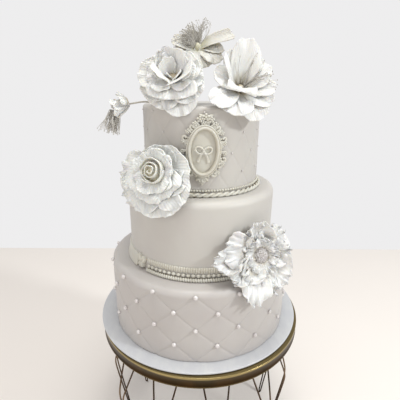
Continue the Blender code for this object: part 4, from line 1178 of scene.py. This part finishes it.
rose = {
    "place": facing((-0.0484, -0.0752, 0.4672), (-0.40, -0.86, 0.33)),
    "petals": [
        dict(bearing=176, length=0.049, width=0.052, lean=66, fall=92, scallop=0.022, waves=3.2, ripple=0.0026),
        dict(bearing=212, length=0.054, width=0.052, lean=72, fall=98, scallop=0.022, waves=3.2, ripple=0.0026),
        dict(bearing=238, length=0.050, width=0.048, lean=62, fall=96),
        dict(bearing=276, length=0.051, width=0.058, lean=66, fall=96, round=0.30),
        dict(bearing=314, length=0.050, width=0.050, lean=60, fall=96),
        dict(bearing=350, length=0.042, width=0.050, lean=58, fall=90),
        dict(bearing=28, length=0.036, width=0.046, lean=60, fall=84),
        dict(bearing=70, length=0.031, width=0.044, lean=58, fall=78),
        dict(bearing=120, length=0.031, width=0.046, lean=58, fall=80),
        dict(bearing=228, length=0.037, width=0.050, lean=42, fall=84, roll=34, start=0.002),
        dict(bearing=306, length=0.036, width=0.046, lean=40, fall=86, roll=60, start=0.002, rim=0.0006),
        dict(bearing=112, length=0.029, width=0.044, lean=26, fall=70, roll=20, start=0.003, cup=0.34),
        dict(bearing=48, length=0.028, width=0.042, lean=24, fall=66, roll=24, start=0.003, cup=0.34),
        dict(bearing=348, length=0.029, width=0.042, lean=24, fall=72, roll=30, start=0.003, cup=0.34),
        dict(bearing=274, length=0.029, width=0.046, lean=26, fall=76, roll=34, start=0.003, cup=0.34),
        dict(bearing=196, length=0.029, width=0.044, lean=26, fall=76, roll=24, start=0.003, cup=0.34),
    ],
    "petalLook": dict(cup=0.20, ripple=0.0014, waves=2.2, depth=0.007, fine=0.7, scallop=0.012, thick=0.0009,
                      rim=0.0004),
    "wraps": [
        dict(bearing=75, wrap=200, foot=0.0085, lip=0.0138, spiral=0.0012, start=0.004, height=0.0225, belly=0.0030,
             tone=0.12, flare=0.0010, dip=0.10, lipTone=0.36, rim=0.0004),
        dict(bearing=262, wrap=200, foot=0.0085, lip=0.0132, spiral=0.0012, start=0.004, height=0.0215, belly=0.0030,
             tone=0.12, flare=0.0006, dip=0.10, lipTone=0.36, rim=0.0004),
        dict(bearing=150, wrap=220, foot=0.0070, lip=0.0102, spiral=0.0016, start=0.004, height=0.0230, belly=0.0022,
             tone=0.08, dip=0.10, lipTone=0.32, rim=0.0004),
        dict(bearing=330, wrap=220, foot=0.0060, lip=0.0082, spiral=0.0016, start=0.004, height=0.0238, belly=0.0018,
             tone=0.08, dip=0.10, lipTone=0.32, rim=0.0004),
        dict(bearing=100, wrap=250, foot=0.0042, lip=0.0058, spiral=0.0016, start=0.004, height=0.0246, belly=0.0012,
             tone=0.08, dip=0.10, lipTone=0.32, rim=0.0003),
        dict(bearing=290, wrap=270, foot=0.0024, lip=0.0034, spiral=0.0014, start=0.004, height=0.0252, belly=0.0006,
             tone=0.08, dip=0.10, lipTone=0.32, rim=0.0003),
    ],
    "heart": ((0.0120, 0.0120, 0.0140), 0.0105),
}
bloom = {
    "place": facing((0.0720, -0.0830, 0.3635), (0.38, -0.88, 0.28)),
    "petals": [
        dict(bearing=184, length=0.065, width=0.036, lean=84, fall=68, cup=0.45, tone=0.0),
        dict(bearing=168, length=0.052, width=0.046, lean=56, fall=90, roll=34),
        dict(bearing=104, length=0.045, width=0.040, lean=80, fall=40, cup=0.45),
        dict(bearing=128, length=0.036, width=0.030, lean=64, fall=70, roll=20),
        dict(bearing=54, length=0.042, width=0.042, lean=64, fall=70, roll=20),
        dict(bearing=8, length=0.041, width=0.034, lean=80, fall=52, cup=0.45),
        dict(bearing=314, length=0.049, width=0.048, lean=84, fall=44, cup=0.40),
        dict(bearing=286, length=0.050, width=0.026, lean=56, fall=80),
        dict(bearing=250, length=0.062, width=0.040, lean=54, fall=74, roll=20),
        dict(bearing=213, length=0.054, width=0.026, lean=66, fall=64, cup=0.45, tone=0.2),
        dict(bearing=226, length=0.042, width=0.040, lean=74, fall=34, cup=0.45),
        dict(bearing=150, length=0.025, width=0.028, lean=34, fall=76, start=0.002),
        dict(bearing=76, length=0.024, width=0.028, lean=30, fall=66, start=0.002),
        dict(bearing=10, length=0.024, width=0.026, lean=34, fall=74, start=0.002),
        dict(bearing=300, length=0.025, width=0.030, lean=36, fall=80, start=0.002),
        dict(bearing=222, length=0.024, width=0.026, lean=34, fall=76, start=0.002),
    ],
    "wraps": [],
    "heart": ((0.0092, 0.0092, 0.0100), 0.004),
    "petalLook": dict(cup=0.28, ripple=0.0040, scallop=0.030, waves=3.3, depth=0.0080, fine=0.40, bulge=0.9,
                      neck=0.14, round=0.40, thick=0.0009, rim=0.0007, rows=30, columns=53),
}


def makeFlower(name, look, material, node):
    place = look["place"]
    shared = look.get("petalLook", {})
    shapes = [petal({**shared, **one}, place) for one in look["petals"]]
    shapes += [wrap(one, place) for one in look["wraps"]]
    shapes.append(heart(*look["heart"], place))
    return piece(name, joined(shapes), material, [node])


def makeStamens():
    # threads of each open flower, and the grains that fill the heart of the wide bloom
    threads = [
        stamens(magnolia["place"], dict(seed=4, count=100, bearings=(-25, 135), tilt=48, spread=26, bend=26,
                                        length=0.034, root=0.007, lift=0.004, thread=0.00040, grain=0.00060)),
        stamens(lily["place"], dict(seed=5, count=170, bearings=(88, 205), tilt=44, spread=42, bend=48,
                                    length=0.0225, root=0.004, lift=0.004, thread=0.00034, grain=0.00055)),
        stamens(lily["place"], dict(seed=6, count=36, bearings=(38, 84), tilt=34, spread=22, bend=16,
                                    length=0.026, root=0.003, lift=0.004, thread=0.00028, grain=0.00045)),
    ]
    piece("flowerStamens", joined(threads), stamenSugar)
    axes, base = bloom["place"]
    random = np.random.default_rng(11)
    count = 420
    turn = np.arange(count) * math.radians(137.508)
    share = np.sqrt((np.arange(count) + 0.5) / count)
    out = 0.0098 * share
    rise = 0.0140 - 0.0050 * share ** 2 + random.uniform(-0.0004, 0.0010, count)
    local = np.stack([out * np.cos(turn), out * np.sin(turn), rise], -1) + random.uniform(-3e-4, 3e-4, (count, 3))
    sizes = random.uniform(0.00045, 0.00080, (count, 1)) * np.ones((1, 3))
    piece("bloomGrains", beads(local @ axes + base, sizes, None, 5, 7), sugarPearl)


def makeBud():
    # a bell of overlapping petals on a bent wire, with curled tips above and a fringe of threads below
    neck, mouth = np.array([-0.0862, -0.0552, 0.5470]), np.array([-0.1050, -0.0605, 0.5405])
    place = facing(neck, mouth - neck)
    wraps = [dict(bearing=angle, wrap=150, foot=0.0022, lip=0.0088, spiral=0.0006, start=0.0, height=0.0195,
                  belly=0.0028, tone=0.35, flare=0.0025, dip=0.28, tip=0.0015, ruffle=0.0006)
             for angle in (20, 110, 200, 290)]
    shapes = [wrap(one, place) for one in wraps]
    shapes += [petal(dict(bearing=angle, length=0.015, width=0.007, lean=70, fall=fall, cup=0.4, ripple=0.0004,
                          root=0.006, rows=14, columns=13), place)
               for angle, fall in ((70, 30), (95, 20), (120, 40), (150, 10))]
    shapes.append(heart((0.0050, 0.0050, 0.0070), 0.007, place, 0.4))
    piece("flowerBud", joined(shapes), pearlPetal, ["flower_bud"])
    hang = facing(mouth + (mouth - neck) * -0.15, (-0.25, -0.12, -0.96))
    fringe = stamens(hang, dict(seed=9, count=90, bearings=(0, 360), tilt=8, spread=13, bend=8, length=0.026,
                                root=0.0055, lift=0.0, thread=0.00042, grain=0.0005))
    piece("budFringe", fringe, stamenSugar)


def softPath(points, stations=60):
    # a smooth curve through a few points: each stretch is a cubic that shares its slope with the next
    points = np.asarray(points, float)
    slopes = np.gradient(points, axis=0)
    place = np.linspace(0, len(points) - 1, stations)
    near = np.minimum(place.astype(int), len(points) - 2)
    t = (place - near)[:, None]
    a, b, da, db = points[near], points[near + 1], slopes[near], slopes[near + 1]
    return (a * (1 + 2 * t) * (1 - t) ** 2 + da * t * (1 - t) ** 2
            + b * t * t * (3 - 2 * t) + db * t * t * (t - 1))


def makeFlowerWires():
    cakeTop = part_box("tier_top")[1].z
    bud = softPath([(-0.0400, -0.0318, cakeTop + 0.0012), (-0.0560, -0.0430, cakeTop + 0.0022),
                    (-0.0700, -0.0510, cakeTop + 0.0032), (-0.0870, -0.0555, 0.5468)])
    lilyBase = lily["place"][1]
    stem = softPath([(-0.0140, -0.0200, cakeTop + 0.0002), (-0.0112, -0.0190, cakeTop + 0.030),
                     lilyBase + (-0.0010, 0.0090, -0.0070), lilyBase + (0.0, 0.001, 0.0)])
    piece("budStem", tubes(bud[None], 0.0010, 8), flowerTape, ["flower_bud_stem"])
    piece("lilyStem", tubes(stem[None], 0.0011, 8, (0.0, 1.0, 0.0)), flowerTape,
          ["flower_lily_stem"])


makeFlower("flowerPeony", peony, pearlPetal, "flower_peony")
makeFlower("flowerMagnolia", magnolia, openPetal, "flower_magnolia")
# the lily wears the darker, greyer copy of the petal material, painted shade
makeFlower("flowerLily", lily, shadedLilyPetal, "flower_lily")
makeFlower("flowerRose", rose, rosePetal, "flower_rose")
makeFlower("flowerBloom", bloom, rufflePetal, "flower_bloom")
makeStamens()
makeBud()
makeFlowerWires()
print("flowers made")


# Room, lights and camera

room = {"width": 6.0, "front": -3.0, "back": 0.66, "floorColour": (0.88, 0.83, 0.785),
        "sky": (1.0, 0.995, 1.0), "skyLight": 0.55, "skySeen": 0.855}
lamps = [
    {"name": "keyLamp", "place": (1.45, -0.80, 1.38), "size": 0.22, "power": 15.5, "colour": (0.97, 1.0, 1.0)},
    {"name": "fillLamp", "place": (-1.2, -1.5, 1.0), "size": 1.6, "power": 8.0, "colour": (1.0, 0.94, 0.89)},
    {"name": "topLamp", "place": (0.1, -0.3, 2.3), "size": 1.2, "power": 22.0, "colour": (1.0, 0.99, 0.95)},
]


def makeFloor():
    side, front, back = room["width"] / 2, room["front"], room["back"]
    mesh = bpy.data.meshes.new("floor")
    mesh.from_pydata([(-side, front, 0), (side, front, 0), (side, back, 0), (-side, back, 0)], [], [(0, 1, 2, 3)])
    floor = bpy.data.objects.new("floor", mesh)
    bpy.context.scene.collection.objects.link(floor)
    graph = Graph("paleFloor")
    tone = graph.noise(3.0, 3.0)
    colour = room["floorColour"]
    darker = tuple(0.97 * part for part in colour)
    mesh.materials.append(graph.surface(Base_Color=graph.mixed(tone, darker, colour), Roughness=0.7))


def makeLamps():
    world = bpy.data.worlds.new("room")
    world.use_nodes = True
    nodes, links = world.node_tree.nodes, world.node_tree.links
    background = nodes["Background"]
    background.inputs["Color"].default_value = (*room["sky"], 1.0)
    seen, strength = nodes.new("ShaderNodeLightPath"), nodes.new("ShaderNodeMix")
    strength.inputs["A"].default_value, strength.inputs["B"].default_value = room["skyLight"], room["skySeen"]
    links.new(seen.outputs["Is Camera Ray"], strength.inputs["Factor"])
    links.new(strength.outputs["Result"], background.inputs["Strength"])
    bpy.context.scene.world = world
    bpy.context.scene.view_settings.view_transform = "Standard"
    for look in lamps:
        lamp = bpy.data.lights.new(look["name"], "AREA")
        lamp.shape, lamp.size, lamp.energy, lamp.color = "DISK", look["size"], look["power"], look["colour"]
        thing = bpy.data.objects.new(look["name"], lamp)
        thing.location = look["place"]
        aim = Vector((0.0, 0.0, 0.40)) - thing.location
        thing.rotation_euler = aim.to_track_quat("-Z", "Y").to_euler()
        bpy.context.scene.collection.objects.link(thing)


def makeCamera():
    camera = bpy.data.objects.new("camera", bpy.data.cameras.new("camera"))
    camera.data.lens = 30.6
    camera.location = (-0.0020, -0.47475, 0.5664)
    camera.rotation_euler = (math.pi / 2 - 0.3207, -0.0051, 0.0)
    bpy.context.scene.collection.objects.link(camera)
    bpy.context.scene.camera = camera


makeFloor()
makeLamps()
makeCamera()
print("room made")
